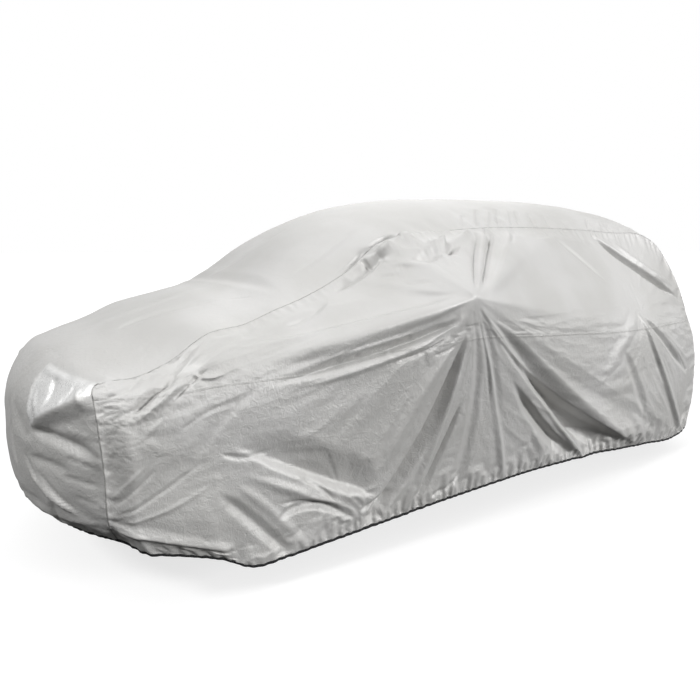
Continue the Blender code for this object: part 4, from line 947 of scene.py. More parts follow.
def puckers(s, away, y, sign):
    """Small gathers square to a seam, from its stitches out."""
    front, ease, much = CORNER_PLEATS
    more = pleated(y) + much * smoothstep((front - y) / ease)
    rise = PUCKER * more * ripple(s, DRAW["puckers"] + sign, *PUCKER_LENGTHS, 12)
    return rise * smoothstep(away / PUCKER_START) * np.exp(-away / (PUCKER_REACH * more))


def seam_offset(s, sign):
    """How far the top seam stands out from the smooth shape at a station."""
    return SEAM_RIPPLE * ripple(s, DRAW["seam"] + sign, *SEAM_RIPPLE_LENGTHS)


def hem_gather(s, from_corner, seed):
    """How far the hem's line stands out from the smooth shape."""
    gather = HEM_RIPPLE * (ripple(s, seed, *HEM_RIPPLE_LENGTHS) - HEM_RIPPLE_IN)
    return gather * smoothstep(from_corner / HEM_RIPPLE_FADE)


# ---- the nets --------------------------------------------
class Side:
    """One side's net, worked out as if it were the left one: x above zero, heights above the ground."""

    def __init__(self, sign, tables, columns, upper_rows, lower_rows):
        self.sign, self.upper_rows = sign, upper_rows
        folds, self.creases, self.pulls, self.spare, self.crumples, self.facets = tables
        levels = levels_for(upper_rows, lower_rows)
        self.stations = column_stations(columns)
        self.corner_stations = corner_stations(levels)
        base = side_grid(self.stations, levels)
        along, down = run_length(base, 0), run_length(base, 1)
        front, rear = [smooth_through(EDGE_KNOTS, EDGE_ROWS, at) for at in self.corner_stations]
        for gap, away in ((front - base[0], along), (rear - base[-1], along[-1:] - along)):
            base += gap[None] * (1 - smoothstep(away / EDGE_BLEND))[..., None]
        gap = smooth_through(EDGE_KNOTS, EDGE_ROWS, self.stations) - base[:, 0]
        base += gap[:, None] * (1 - smoothstep(down / EDGE_BLEND))[..., None]
        self.base = base
        self.normals = net_normals(base)
        self.y, self.height = base[..., 1], base[..., 2]
        self.along, self.down = run_length(base, 0), run_length(base, 1)
        self.above_hem = self.down[:, -1:] - self.down
        self.from_corner = np.minimum(self.along, self.along[-1:] - self.along)
        self.seam_distance = np.minimum(self.from_corner, self.down)
        self.belt_distance = self.down - self.down[:, upper_rows:upper_rows + 1]
        self.wheel_share = smoothstep((self.y - WHEEL_FROM) / WHEEL_EASE)
        self.wheel_share = WHEEL_SHARE + (1 - WHEEL_SHARE) * self.wheel_share
        # smoother coating behind the lamp, which also carries a painted highlight
        self.gloss_and_painted_highlight = patches(self.y, self.height, SIDE_GLOSS_AND_PAINTED_HIGHLIGHT)
        reach = HEM_HOLD_REACH + DOOR_HOLD_REACH * smoothstep((self.y - DOOR_HOLD_FROM) / DOOR_HOLD_EASE)
        free = HEM_HOLD + (1 - HEM_HOLD) * np.clip(self.above_hem / reach, 0, 1)
        self.rise = folds_rise(folds, self.y, self.height) * free
        down_front, down_rear = self.corner_stations
        self.edge_stations = np.concatenate([down_front[:0:-1], self.stations, down_rear[1:]])

    def edge(self, field):
        """Values of a field on the net along the seam with the strip, front hem to rear hem."""
        return np.concatenate([field[0, :0:-1], field[:, 0], field[-1, 1:]])

    def set_seam(self, strip_normals):
        """Fix the seam with the strip, from the strip's normals at this side's stations."""
        self.seam_normals = unit(self.edge(self.normals) + strip_normals)
        out = self.edge(self.rise) + seam_offset(self.edge_stations, self.sign)
        self.seam = self.edge(self.base) + out[:, None] * self.seam_normals

    def pull(self):
        """Direction tensor of the wrinkles."""
        return pull_tensor(self.y, self.height, self.pulls, (
            (HEM_PULL * np.exp(-self.above_hem / HEM_PULL_REACH), (0, 1)),
            (SEAM_PULL * np.exp(-self.down / SEAM_REACH), (0, 1)),
            (SEAM_PULL * np.exp(-self.from_corner / SEAM_REACH), (1, 0)),
            (BELT_PULL * np.exp(-np.abs(self.belt_distance) / BELT_PULL_REACH), (0, 1)),
            (np.full(self.y.shape, EVEN_PULL), (1, 0))))

    def spare_cloth(self):
        """Share of its length that the cloth has to spare at each place."""
        rows, columns = shape = self.y.shape
        pleats = pleated(self.y)
        near_seam = pleats * np.exp(-self.seam_distance / (SEAM_REACH * pleats ** 0.5))
        near_seam += BELT_SPARE * np.exp(-np.abs(self.belt_distance) / BELT_SPARE_REACH)
        cells = (rows / SIDE_CELL[0], columns / SIDE_CELL[1])
        uneven = 1 + UNEVEN * cloud(shape, cells, DRAW["side_spare"] + self.sign)
        hem_uneven = 1 + HEM_UNEVEN * cloud(shape, (rows / HEM_CELL, 2), DRAW["hem_spare"] + self.sign)
        spare = np.maximum(SPARE + patches(self.y, self.height, self.spare), LEAST_SPARE) * uneven
        at_hem = HEM_SPARE * hem_uneven * self.wheel_share * np.exp(-self.above_hem / HEM_REACH)
        spare += SEAM_SPARE * near_seam + at_hem
        return spare

    def edge_lines(self, rest):
        """The places of the net's four edges, with their points: the seams and the gathered hem."""
        columns = self.y.shape[1]
        rear = len(self.seam) - columns + 1
        gather = hem_gather(self.along[:, -1], self.from_corner[:, -1], DRAW["side_hem"] + self.sign)
        hem = rest[:, -1] + gather[:, None] * self.normals[:, -1]
        hem[:, 2] += HEM_RIPPLE_UP * np.abs(gather)
        hem[0], hem[-1] = self.seam[0], self.seam[-1]
        return (((0, slice(None)), self.seam[columns - 1::-1]), ((-1, slice(None)), self.seam[rear - 1:]),
                ((slice(None), 0), self.seam[columns - 1:rear]), ((slice(None), -1), hem))

    def relief(self, ways):
        """What is too crisp for the net to find: wrinkles, crumples, facets, creases, puckers and gathers."""
        y, height, away, sign = self.y, self.height, self.seam_distance, self.sign
        fine = creased(y.shape, ways, DRAW["side_wrinkles"] + DRAW_APART * sign)
        crumples = faceted(y, height, DRAW["side_crumples"] + DRAW_APART * sign)
        fine += patches(y, height, self.crumples) * crumples
        fine += turned_down(y, height, self.facets)
        creases = folds_rise(self.creases, y, height) * smoothstep(away / CREASE_FADE)
        fine = fine * smoothstep(away / CRUMPLE_FADE) + creases
        down_corner = np.where(self.along < self.along[-1:] - self.along, *self.corner_stations)
        seam_s = np.where(self.down < self.from_corner, self.stations[:, None], down_corner)
        fine += puckers(seam_s, away, y, sign)
        fine *= smoothstep(self.above_hem / RELIEF_HEM_FADE)
        lean = cloud(y.shape, (len(y) / HEM_SWAY_CELL, 2), DRAW["hem_sway"])
        sway = HEM_PUCKER_SWAY * self.above_hem * lean
        gathers = ripple(self.along[:, -1:] + sway, DRAW["hem_puckers"], *HEM_PUCKER_LENGTHS)
        fade = np.exp(-(self.above_hem / HEM_PUCKER_REACH) ** 2)
        gathers *= fade * smoothstep(self.above_hem / HEM_PUCKER_START)
        return fine + HEM_PUCKER * gathers * self.wheel_share

    def settle(self):
        """Relax the side between its seams and its hem, then put its crisp relief on it."""
        plane = np.stack([self.y, self.height], -1)
        pull = self.pull()
        rest = self.base + self.rise[..., None] * self.normals
        edges = self.edge_lines(rest)
        for place, values in edges:
            rest[place] = values
        tip = np.hypot(self.y - MIRROR_TIP[1], self.height - MIRROR_TIP[2])
        hold = HOLD + BELT_HOLD * np.exp(-(np.abs(self.belt_distance) / BELT_HOLD_REACH) ** 2)
        hold = hold + TIP_HOLD * np.exp(-(tip / TIP_HOLD_REACH) ** 2)
        self.points = settle(
            rest, self.normals, plane, pull, self.spare_cloth(), hold, edges, DRAW["side"] + self.sign)
        self.points += self.relief(wrinkle_ways(plane, pull))[..., None] * net_normals(self.points)


class Strip:
    """The top strip's net, from the front hem to the rear hem and from the right side to the left."""

    def __init__(self, lengths, columns):
        self.stations = np.linspace(0, EDGE_KNOTS[-1], lengths + 1)
        self.s, t = np.meshgrid(self.stations, np.linspace(-1, 1, columns + 1), indexing="ij")
        self.base = strip_point(self.s, t)
        self.across = run_length(self.base, 1)
        self.edge_distance = {1: self.across[:, -1:] - self.across, -1: self.across}
        self.seam_distance = np.minimum(self.edge_distance[1], self.edge_distance[-1])
        self.round_nose(t)
        self.normals = net_normals(self.base)
        self.on_front = 1 - smoothstep((self.s - station("front_corner")) / FRONT_EASE)
        self.on_tail = smoothstep((self.s - station("tail_top")) / FRONT_EASE)
        self.from_hem = np.minimum(self.s, self.s[-1:] - self.s)
        # smoother coating over the front lamp, which also carries a painted highlight
        self.gloss_and_painted_highlight = inside(self.base[..., 0], self.base[..., 2], LAMP_GLOSS_AND_PAINTED_HIGHLIGHT) / LAMP_GLOSS_HIGHLIGHT_EDGE
        self.gloss_and_painted_highlight = smoothstep(self.gloss_and_painted_highlight) * self.on_front

    def round_nose(self, t):
        """Round the strip where the front turns into the bonnet, but for its edges."""
        steps = np.linspace(-NOSE_ROUNDING, NOSE_ROUNDING, NOSE_SAMPLES)[1:-1]
        weights = np.cos(steps * pi / (2 * NOSE_ROUNDING)) ** 2
        shapes = [strip_point(np.maximum(self.s + step, 0), t) for step in steps]
        rounded = sum(weight * shape for weight, shape in zip(weights, shapes))
        rounded /= weights.sum()
        share = smoothstep(self.seam_distance / NOSE_EDGE)
        share *= np.exp(-((self.s - station("front_corner")) / NOSE_REACH) ** 4)
        self.base += share[..., None] * (rounded - self.base)

    def pull(self):
        """Direction tensor of the wrinkles."""
        return pull_tensor(self.base[..., 0], self.s, TOP_PULLS, (
            (HEM_PULL * np.exp(-self.from_hem / HEM_PULL_REACH), (0, 1)),
            (SEAM_PULL * np.exp(-self.seam_distance / SEAM_REACH), (1, 0)),
            (np.full(self.s.shape, EVEN_PULL), (1, 0))))

    def spare_cloth(self):
        """Share of its length that the cloth has to spare at each place."""
        x, y = self.base[..., 0], self.base[..., 1]
        rows, columns = shape = self.s.shape
        pleats = pleated(y)
        uneven = cloud(shape, (rows / STRIP_CELL[0], columns / STRIP_CELL[1]), DRAW["strip_spare"])
        uneven = 1 + UNEVEN * uneven
        more = (FRONT_SPARE * self.on_front + TAIL_SPARE * self.on_tail) * SPARE
        spare = (TOP_SPARE_ALL + more + patches(x, self.s, TOP_SPARE)) * uneven
        near_seam = np.exp(-self.seam_distance / (SEAM_REACH * pleats ** 0.5))
        spare += STRIP_SEAM_SPARE * SEAM_SPARE * pleats * near_seam
        spare += STRIP_HEM_SPARE * HEM_SPARE * np.exp(-self.from_hem / HEM_REACH)
        return spare

    def relief(self, ways):
        """What is too crisp for the net to find: wrinkles, crumples, creases and puckers."""
        x, y, height = np.moveaxis(self.base, -1, 0)
        away = self.seam_distance
        on_sides = np.maximum(self.on_front, self.on_tail)
        fine = creased(x.shape, ways, DRAW["strip_wrinkles"]) * (TOP_WRINKLED + FRONT_WRINKLED * on_sides)
        fine += patches(x, self.s, TOP_CRUMPLES) * faceted(x, self.s, DRAW["strip_crumples"])
        fine = fine * smoothstep(away / CRUMPLE_FADE)
        creases = folds_rise(FRONT_CREASES, x, height) * self.on_front
        creases = creases + folds_rise(TOP_CREASES, x, y) * (1 - self.on_front) * (1 - self.on_tail)
        fine += creases * smoothstep(away / CREASE_FADE)
        fine += np.where(x > 0, puckers(self.s, away, y, 1), puckers(self.s, away, y, -1))
        return fine * smoothstep(self.from_hem / RELIEF_HEM_FADE)

    def rise(self, sides):
        """How far the folds lift the strip: its own, and those that run on from the sides."""
        x, y, height = np.moveaxis(self.base, -1, 0)
        rise = folds_rise(FRONT_FOLDS, x, height) * self.on_front
        rise += folds_rise(TAIL_FOLDS, x, height) * self.on_tail
        rise += folds_rise(TOP_FOLDS, x, y) * (1 - self.on_front) * (1 - self.on_tail)
        rise *= smoothstep(self.seam_distance / STRIP_FADE)
        rise *= HEM_HOLD + (1 - HEM_HOLD) * np.clip(self.from_hem / HEM_HOLD_REACH, 0, 1)
        for side in sides:
            lift = np.interp(self.stations, side.edge_stations, side.edge(side.rise))
            rise += lift[:, None] * (1 - smoothstep(self.edge_distance[side.sign] / SEAM_FADE))
        return rise

    def edge_lines(self, rest, sides):
        """The places of the net's four edges, with their points: the seams and the gathered hems."""
        seams = []
        for side in sides:
            seam = points_at(self.stations, side.edge_stations, side.seam)
            seam[:, 0] *= side.sign
            seams.append(((slice(None), strip_edge(side)), seam))
        hems = []
        for row, draw in ((0, "front_hem"), (-1, "rear_hem")):
            gather = hem_gather(self.across[row], self.seam_distance[row], DRAW[draw])
            hem = rest[row] + gather[:, None] * self.normals[row]
            for (_, column), seam in seams:
                hem[column] = seam[row]
            hems.append(((row, slice(None)), hem))
        return seams + hems

    def settle(self, sides):
        """Relax the strip between its seams and its hems, then put its crisp relief on it."""
        plane = np.stack([self.base[..., 0], self.s], -1)
        pull = self.pull()
        rest = self.base + self.rise(sides)[..., None] * self.normals
        edges = self.edge_lines(rest, sides)
        for place, values in edges:
            rest[place] = values
        hold = np.full(self.s.shape, HOLD)
        self.points = settle(rest, self.normals, plane, pull, self.spare_cloth(), hold, edges, DRAW["strip"])
        self.points += self.relief(wrinkle_ways(plane, pull))[..., None] * net_normals(self.points)


def strip_edge(side):
    """The strip's column along its seam with a side."""
    return -1 if side.sign > 0 else 0


# ---- pieces ----------------------------------------------
ROLL = 0.0018                   # how far from a seam the cloth starts to turn in
ROLL_SINK = 0.0014              # how much lower the seam lies than the cloth beside it
ROLL_DEPTH = 0.0035             # and how deep the turned-in edge goes


def turn_in(points, normals, maps, flat_edge):
    """A net with its edges turned in along their seams, but for one, with its maps drawn out alike."""
    for axis, backwards in ((0, False), (0, True), (1, False), (1, True)):
        if (axis, backwards) == flat_edge:
            continue
        fields = [np.moveaxis(field, axis, 0) for field in (points, normals, maps)]
        if backwards:
            fields = [field[::-1] for field in fields]
        points, normals, maps = fields
        step = points[1] - points[0]
        inner = points[0] + step * (ROLL / np.linalg.norm(step, axis=-1, keepdims=True))
        line = points[0] - ROLL_SINK * normals[0]
        under = points[0] - ROLL_DEPTH * normals[0]
        points = np.concatenate([under[None], line[None], inner[None], points[1:]])
        normals = np.concatenate([normals[:1], normals[:1], normals])
        run = maps[0] - maps[1]
        share = ROLL / np.linalg.norm(step, axis=-1, keepdims=True)
        maps = np.concatenate([
            (maps[0] + 3 * share * run)[None], maps[:1], (maps[0] - share * run)[None], maps[1:]])
        fields = [points, normals, maps]
        if backwards:
            fields = [field[::-1] for field in fields]
        points, normals, maps = [np.moveaxis(field, 0, axis) for field in fields]
    return points, normals, maps


def deselect():
    for thing in bpy.context.selected_objects:
        thing.select_set(False)


def add_net(name, points, maps, outwards):
    """A sheet from a plain grid whose points are moved to those of a net.

    maps has the places on the cut cloth, the distances to the belt seam and to the nearest other edge, and
    how smooth the coating is, which also sets where a highlight is painted on it.
    """
    if not outwards:
        points, maps = points[::-1], maps[::-1]
    rows, columns = points.shape[:2]
    deselect()
    bpy.ops.mesh.primitive_grid_add(x_subdivisions=columns - 1, y_subdivisions=rows - 1, size=2)
    sheet = bpy.context.object
    sheet.name = sheet.data.name = name
    mesh = sheet.data
    assert len(mesh.vertices) == rows * columns
    mesh.vertices.foreach_set("co", points.reshape(-1))
    corner = np.empty(len(mesh.loops), int)
    mesh.loops.foreach_get("vertex_index", corner)
    for layer in list(mesh.uv_layers):
        mesh.uv_layers.remove(layer)
    for n, layer in enumerate(("cloth", "seams", "gloss_and_painted_highlight")):
        mesh.uv_layers.new(name=layer)
        places = maps[..., 2 * n:2 * n + 2].reshape(-1, 2)[corner]
        mesh.uv_layers[layer].data.foreach_set("uv", places.reshape(-1))
    mesh.polygons.foreach_set("use_smooth", np.ones(len(mesh.polygons), bool))
    mesh.update()
    return sheet


def to_frame(points, sign=1):
    """Points with heights above the ground, put into the model's frame."""
    return points * (sign, 1, 1) - (0, 0, ROOF_HEIGHT)


# One stitch: a point at each end and a ring of four near it, each as long, across, up.
RING = ((1, 0.2), (0, 1), (-1, 0.2), (0, -1))
STITCH = np.array([(-1, 0, 0), *((-0.7, *at) for at in RING), *((0.7, *at) for at in RING), (1, 0, 0)])
STITCH_FACES = np.array([
    (0, 2, 1), (0, 3, 2), (0, 4, 3), (0, 1, 4), (1, 2, 6), (1, 6, 5), (2, 3, 7), (2, 7, 6),
    (3, 4, 8), (3, 8, 7), (4, 1, 5), (4, 5, 8), (5, 6, 9), (6, 7, 9), (7, 8, 9), (8, 5, 9)])


def add_stitches(name, lines, lift, pitch, size):
    """Stitches along lines, each given as points and normals, and lifted off them."""
    verts, faces = [], []
    count = 0
    for line, normals in lines:
        run = knots_along(line)
        at = np.arange(pitch, run[-1] - pitch, pitch)
        centre = points_at(at, run, line)
        up = unit(points_at(at, run, normals))
        along = unit(points_at(at + pitch / 2, run, line) - centre + 1e-9)
        across = unit(np.cross(up, along))
        centre = centre + lift * up
        body = STITCH * size
        shape = (centre[:, None] + body[None, :, :1] * along[:, None] + body[None, :, 1:2] * across[:, None]
                 + body[None, :, 2:] * up[:, None])
        verts.append(shape.reshape(-1, 3))
        first = count + len(STITCH) * np.arange(len(at))
        faces.append((STITCH_FACES[None] + first[:, None, None]).reshape(-1, 3))
        count += len(STITCH) * len(at)
    mesh = bpy.data.meshes.new(name)
    mesh.from_pydata(np.concatenate(verts).tolist(), [], np.concatenate(faces).tolist())
    thread = bpy.data.objects.new(name, mesh)
    bpy.context.scene.collection.objects.link(thread)
    deselect()
    thread.select_set(True)
    bpy.context.view_layer.objects.active = thread
    bpy.ops.object.mode_set(mode="EDIT")
    bpy.ops.mesh.select_all(action="SELECT")
    bpy.ops.mesh.normals_make_consistent(inside=False)
    bpy.ops.object.mode_set(mode="OBJECT")
    bpy.ops.object.shade_smooth()
    return thread


# The elastic's section: below the cloth's edge, out from its face.
ELASTIC = ((-0.0030, 0.0010), (0.0015, 0.0017), (0.0085, 0.0016), (0.0105, 0.0002),
           (0.0105, -0.0022), (0.0085, -0.0036), (0.0015, -0.0037), (-0.0030, -0.0030))
ELASTIC_SWELL = 0.16            # how much the band's thickness varies where it is gathered
ELASTIC_LENGTHS = (0.018, 0.034)        # over lengths between these
ELASTIC_ROUND = 0.028           # distance round its section
MERGE = 1e-6                    # points nearer than this are one


def evened(rows, reach=9):
    """Rows of a table, each one the mean of its neighbours."""
    padded = np.concatenate([np.repeat(rows[:1], reach, 0), rows, np.repeat(rows[-1:], reach, 0)])
    total = np.cumsum(np.concatenate([np.zeros((1,) + rows.shape[1:]), padded]), axis=0)
    return (total[2 * reach + 1:] - total[:-2 * reach - 1]) / (2 * reach + 1)


def add_elastic(name, line, normals, down):
    """The gathered elastic band along a run of the hem, closed at both ends."""
    run = knots_along(line)
    swell = 1 + ELASTIC_SWELL * ripple(run, DRAW["elastic"], *ELASTIC_LENGTHS)
    rings = [line + below * down + out * swell[:, None] * normals for below, out in ELASTIC]
    points = np.stack(rings + rings[:1], axis=1)
    around = np.linspace(0, ELASTIC_ROUND, points.shape[1])
    place = np.stack(np.broadcast_arrays(run[:, None], around), -1)
    band = add_net(name, points, np.concatenate([place, place, place], -1), True)
    bpy.ops.object.mode_set(mode="EDIT")
    bpy.ops.mesh.select_all(action="SELECT")
    bpy.ops.mesh.remove_doubles(threshold=MERGE)
    bpy.ops.mesh.select_all(action="DESELECT")
    bpy.ops.mesh.select_non_manifold(extend=False)
    bpy.ops.mesh.edge_face_add()
    bpy.ops.mesh.select_all(action="SELECT")
    bpy.ops.mesh.normals_make_consistent(inside=False)
    bpy.ops.object.mode_set(mode="OBJECT")
    return band


# ---- shader maths ----------------------------------------
class Shade:
    """A socket whose arithmetic adds Math nodes to its material."""

    def __init__(self, tree, socket):
        self.tree, self.socket = tree, socket

    def maths(self, operation, *values):
        node = self.tree.nodes.new("ShaderNodeMath")
        node.operation = operation
        for place, value in enumerate(values):
            plug(self.tree, node.inputs[place], value)
        return Shade(self.tree, node.outputs[0])

    def __add__(self, other):
        return self.maths("ADD", self, other)

    __radd__ = __add__

    def __sub__(self, other):
        return self.maths("SUBTRACT", self, other)

    def __rsub__(self, other):
        return self.maths("SUBTRACT", other, self)

    def __mul__(self, other):
        return self.maths("MULTIPLY", self, other)

    def __abs__(self):
        return self.maths("ABSOLUTE", self)

    def sine(self):
        return self.maths("SINE", self)

    def ramp(self, low, high):
        """From 0 at low to 1 at high, softly."""
        node = self.tree.nodes.new("ShaderNodeMapRange")
        node.interpolation_type = "SMOOTHSTEP"
        for place, value in enumerate((self, low, high, 0.0, 1.0)):
            plug(self.tree, node.inputs[place], value)
        return Shade(self.tree, node.outputs[0])


def plug(tree, socket, value):
    if isinstance(value, Shade):
        tree.links.new(value.socket, socket)
    else:
        socket.default_value = value


class Finish:
    """A material and the one way in which its nodes are made."""

    def __init__(self, name):
        self.material = bpy.data.materials.new(name)
        self.material.use_nodes = True
        self.tree = self.material.node_tree
        self.shader = self.tree.nodes["Principled BSDF"]

    def node(self, kind, output=0, settings=None, **values):
        """A node of a type with its settings, and with values or links for its sockets, by name."""
        node = self.tree.nodes.new(kind)
        for key, setting in (settings or {}).items():
            setattr(node, key, setting)
        for key, value in values.items():
            plug(self.tree, node.inputs[key.replace("_", " ")], value)
        return Shade(self.tree, node.outputs[output])

    def uv(self, layer):
        """The two numbers of a map of the piece."""
        place = self.node("ShaderNodeUVMap", settings={"uv_map": layer})
        parts = self.tree.nodes.new("ShaderNodeSeparateXYZ")
        plug(self.tree, parts.inputs[0], place)
        return Shade(self.tree, parts.outputs[0]), Shade(self.tree, parts.outputs[1])

    def noise(self, place, scale, detail=3.0, roughness=0.5, distortion=0.0):
        return self.node("ShaderNodeTexNoise", Vector=place, Scale=scale, Detail=detail, Roughness=roughness,
                         Distortion=distortion)

    def blend(self, share, first, second):
        node = self.tree.nodes.new("ShaderNodeMix")
        node.data_type = "RGBA"
        plug(self.tree, node.inputs["Factor"], share)
        plug(self.tree, node.inputs[6], first)
        plug(self.tree, node.inputs[7], second)
        return Shade(self.tree, node.outputs[2])

    def waves(self, along, length):
        """From -1 to 1 and back over each length."""
        return (along * (2 * pi / length)).sine()

    def edges_of_cells(self, place, scale):
        """Distance from the nearest edge of a field of random cells."""
        feature = {"feature": "DISTANCE_TO_EDGE"}
        return self.node("ShaderNodeTexVoronoi", settings=feature, Vector=place, Scale=scale)

    def bump(self, height, **below):
        """Normal of a surface with a height in metres, on the one whose normal is given, if any."""
        return self.node("ShaderNodeBump", Strength=1.0, Distance=1.0, Height=height, **below)

    def set(self, **values):
        for key, value in values.items():
            plug(self.tree, self.shader.inputs[key.replace("_", " ")], value)


THREAD_PITCH = 0.0011           # from one thread of the weave to the next
WEAVE_HEIGHT = 0.000018
GRAIN_HEIGHT = 0.00008
CRUMPLE_HEIGHT = 0.0034         # of the crumples that are too small for the net
# How far below the belt seam the lap of its fell rises, and how far it falls again.
BELT_LAP = (0.0005, 0.0025, 0.0095, 0.0115)
LAP_HEIGHT = 0.0005
GROOVE_WIDTH, GROOVE_DEPTH = 0.0050, 0.0003     # of the groove along the other seams
LOW_CREASED = (-0.85, -0.50)    # heights between which the cloth turns from the most creased to the least
GROOVE_SHADE_HEIGHTS = (-0.84, -0.77)   # and between which the grooves' painted shade turns from the darkest to the lightest
CLOTH_DARK, CLOTH_LIGHT = (0.555, 0.55, 0.535, 1), (0.605, 0.60, 0.59, 1)
# The last colour is a painted highlight, blended in near white where the coating is smoother.
CLOTH_THREAD, CLOTH_PAINTED_HIGHLIGHT = (0.66, 0.655, 0.645, 1), (0.92, 0.92, 0.91, 1)
# Painted shade for the seam grooves.
GROOVE_PAINTED_SHADE = (0.30, 0.295, 0.285, 1)
RIB_PITCH, KNIT_PITCH = 0.0016, 0.0012          # of the elastic


def silver_cloth():
    """Coated polyester: a fine plain weave under a satin silver-grey face, creased from being packed."""
    finish = Finish("silver_cloth_satin")
    u, v = finish.uv("cloth")
    belt, edge = finish.uv("seams")
    gloss_and_painted_highlight, _ = finish.uv("gloss_and_painted_highlight")
    space = finish.node("ShaderNodeTexCoord", output=3)
    high = finish.node("ShaderNodeSeparateXYZ", output=2, Vector=space)
    weave = finish.waves(u, THREAD_PITCH) * finish.waves(v, THREAD_PITCH)
    broad = finish.noise(space, 2.3, 3.0)
    grain = finish.noise(space, 170.0, 2.0)
    patchy = finish.noise(space, 5.0, 2.0).ramp(0.42, 0.62)
    warped = finish.noise(space, 9.0, 2.0, distortion=0.6)
    large = 1 - finish.edges_of_cells(space, 17.0).ramp(0.0, 0.10)
    small = 1 - finish.edges_of_cells(space, 41.0).ramp(0.0, 0.13)
    creases = large * patchy + small * warped * 0.35
    crumple = finish.noise(space, 24.0, 4.0, 0.55, 0.4)
    crinkle = abs(finish.noise(space, 38.0, 3.0, 0.6, 1.2) - 0.5)
    low = 1 - high.ramp(*LOW_CREASED)
    felled = belt.ramp(*BELT_LAP[:2]) * (1 - belt.ramp(*BELT_LAP[2:]))
    groove = 1 - edge.ramp(0.0, GROOVE_WIDTH)
    crumples = (crumple * CRUMPLE_HEIGHT - crinkle * CRUMPLE_HEIGHT) * (low * 0.75 + 0.25)
    crumples = crumples + creases * (low * 0.0003 + 0.0001)
    seams = felled * LAP_HEIGHT - groove * GROOVE_DEPTH + weave * WEAVE_HEIGHT + grain * GRAIN_HEIGHT
    normal = finish.bump(seams, Normal=finish.bump(crumples))
    tone = finish.blend(broad.ramp(0.35, 0.65), CLOTH_DARK, CLOTH_LIGHT)
    tone = finish.blend(weave * 0.10 + 0.10, tone, CLOTH_THREAD)
    # painted highlight: the smoother patches are painted nearly white, on top of their lower roughness and coat
    tone = finish.blend(gloss_and_painted_highlight * 0.95, tone, CLOTH_PAINTED_HIGHLIGHT)
    # painted shade in the seam grooves, darker lower down
    tone = finish.blend(groove * ((1 - high.ramp(*GROOVE_SHADE_HEIGHTS)) * 0.55 + 0.15), tone, GROOVE_PAINTED_SHADE)
    finish.set(Base_Color=tone, Roughness=0.50 + grain * 0.08 + creases * 0.06 - gloss_and_painted_highlight * 0.26, Metallic=0.22,
               Normal=normal, Specular_IOR_Level=0.3, Coat_Weight=gloss_and_painted_highlight * 0.7, Coat_Roughness=0.12,
               Sheen_Weight=0.02, Sheen_Roughness=0.4)
    return finish.material


def sewing_thread(name, dark, light, roughness):
    """Matt thread between two tones."""
    finish = Finish(name)
    grain = finish.noise(finish.node("ShaderNodeTexCoord", output=3), 900.0, 2.0)
    finish.set(Base_Color=finish.blend(grain.ramp(0.3, 0.7), dark, light), Roughness=roughness + grain * 0.1)
    return finish.material


def black_elastic():
    """Woven elastic: ribs across the band with a fine knit between them."""
    finish = Finish("black_elastic_knit")
    u, v = finish.uv("cloth")
    ribs = finish.waves(v, RIB_PITCH)
    knit = finish.waves(u, KNIT_PITCH) * ribs
    grain = finish.noise(finish.node("ShaderNodeTexCoord", output=3), 400.0, 2.0)
    tone = finish.blend(ribs * 0.25 + 0.35, (0.007, 0.007, 0.008, 1), (0.022, 0.022, 0.024, 1))
    finish.set(Base_Color=tone, Roughness=0.62 + grain * 0.2,
               Normal=finish.bump(ribs * 0.00012 + knit * 0.00006 + grain * 0.0001))
    return finish.material


def studio_floor():
    finish = Finish("studio_floor")
    finish.set(Base_Color=(0.30, 0.30, 0.30, 1), Roughness=0.9, Emission_Color=(1, 1, 1, 1),
               Emission_Strength=0.74)
    return finish.material


# ---- camera and light ------------------------------------
FRAME_PIXELS, FOCAL_PIXELS = 700, 632.6         # the photo's width and focal length
SENSOR = 36
CAMERA_PLACE = (3.18, -2.72, 1.447 - ROOF_HEIGHT)
CAMERA_YAW, CAMERA_PITCH = 0.990, 0.170
SKY = ((0.0, 0.05), (0.49, 0.05), (0.52, 0.08), (0.65, 0.26), (1.0, 1.02))     # light from below to overhead
# Soft distant lights: where each shines from, how strong it is, and its width in degrees.
SUNS = {
    "front_key": ((0.05, -0.70, 0.71), 1.65, 14),
    "side_key":  ((0.78, 0.56, 0.28), 2.15, 14),
    "back_fill": ((-0.70, 0.50, 0.45), 0.60, 40),
}
FLOOR_SIZE = 160


def make_camera():
    level = cos(CAMERA_PITCH)
    ahead = Vector((-sin(CAMERA_YAW) * level, cos(CAMERA_YAW) * level, -sin(CAMERA_PITCH)))
    right = ahead.cross(Vector((0, 0, 1))).normalized()
    up = right.cross(ahead)
    data = bpy.data.cameras.new("camera")
    data.lens, data.sensor_width = FOCAL_PIXELS / FRAME_PIXELS * SENSOR, SENSOR
    data.clip_start, data.clip_end = 0.05, 200
    camera = bpy.data.objects.new("camera", data)
    turn = Matrix((right, up, -ahead)).transposed().to_4x4()
    camera.matrix_world = Matrix.Translation(CAMERA_PLACE) @ turn
    bpy.context.scene.collection.objects.link(camera)
    bpy.context.scene.camera = camera


def add_sun(name, place, strength, angle):
    """A distant soft light that shines from a place towards the cover."""
    data = bpy.data.lights.new(name, "SUN")
    data.energy, data.angle = strength, radians(angle)
    light = bpy.data.objects.new(name, data)
    light.matrix_world = (-Vector(place)).to_track_quat("-Z", "Y").to_matrix().to_4x4()
    bpy.context.scene.collection.objects.link(light)


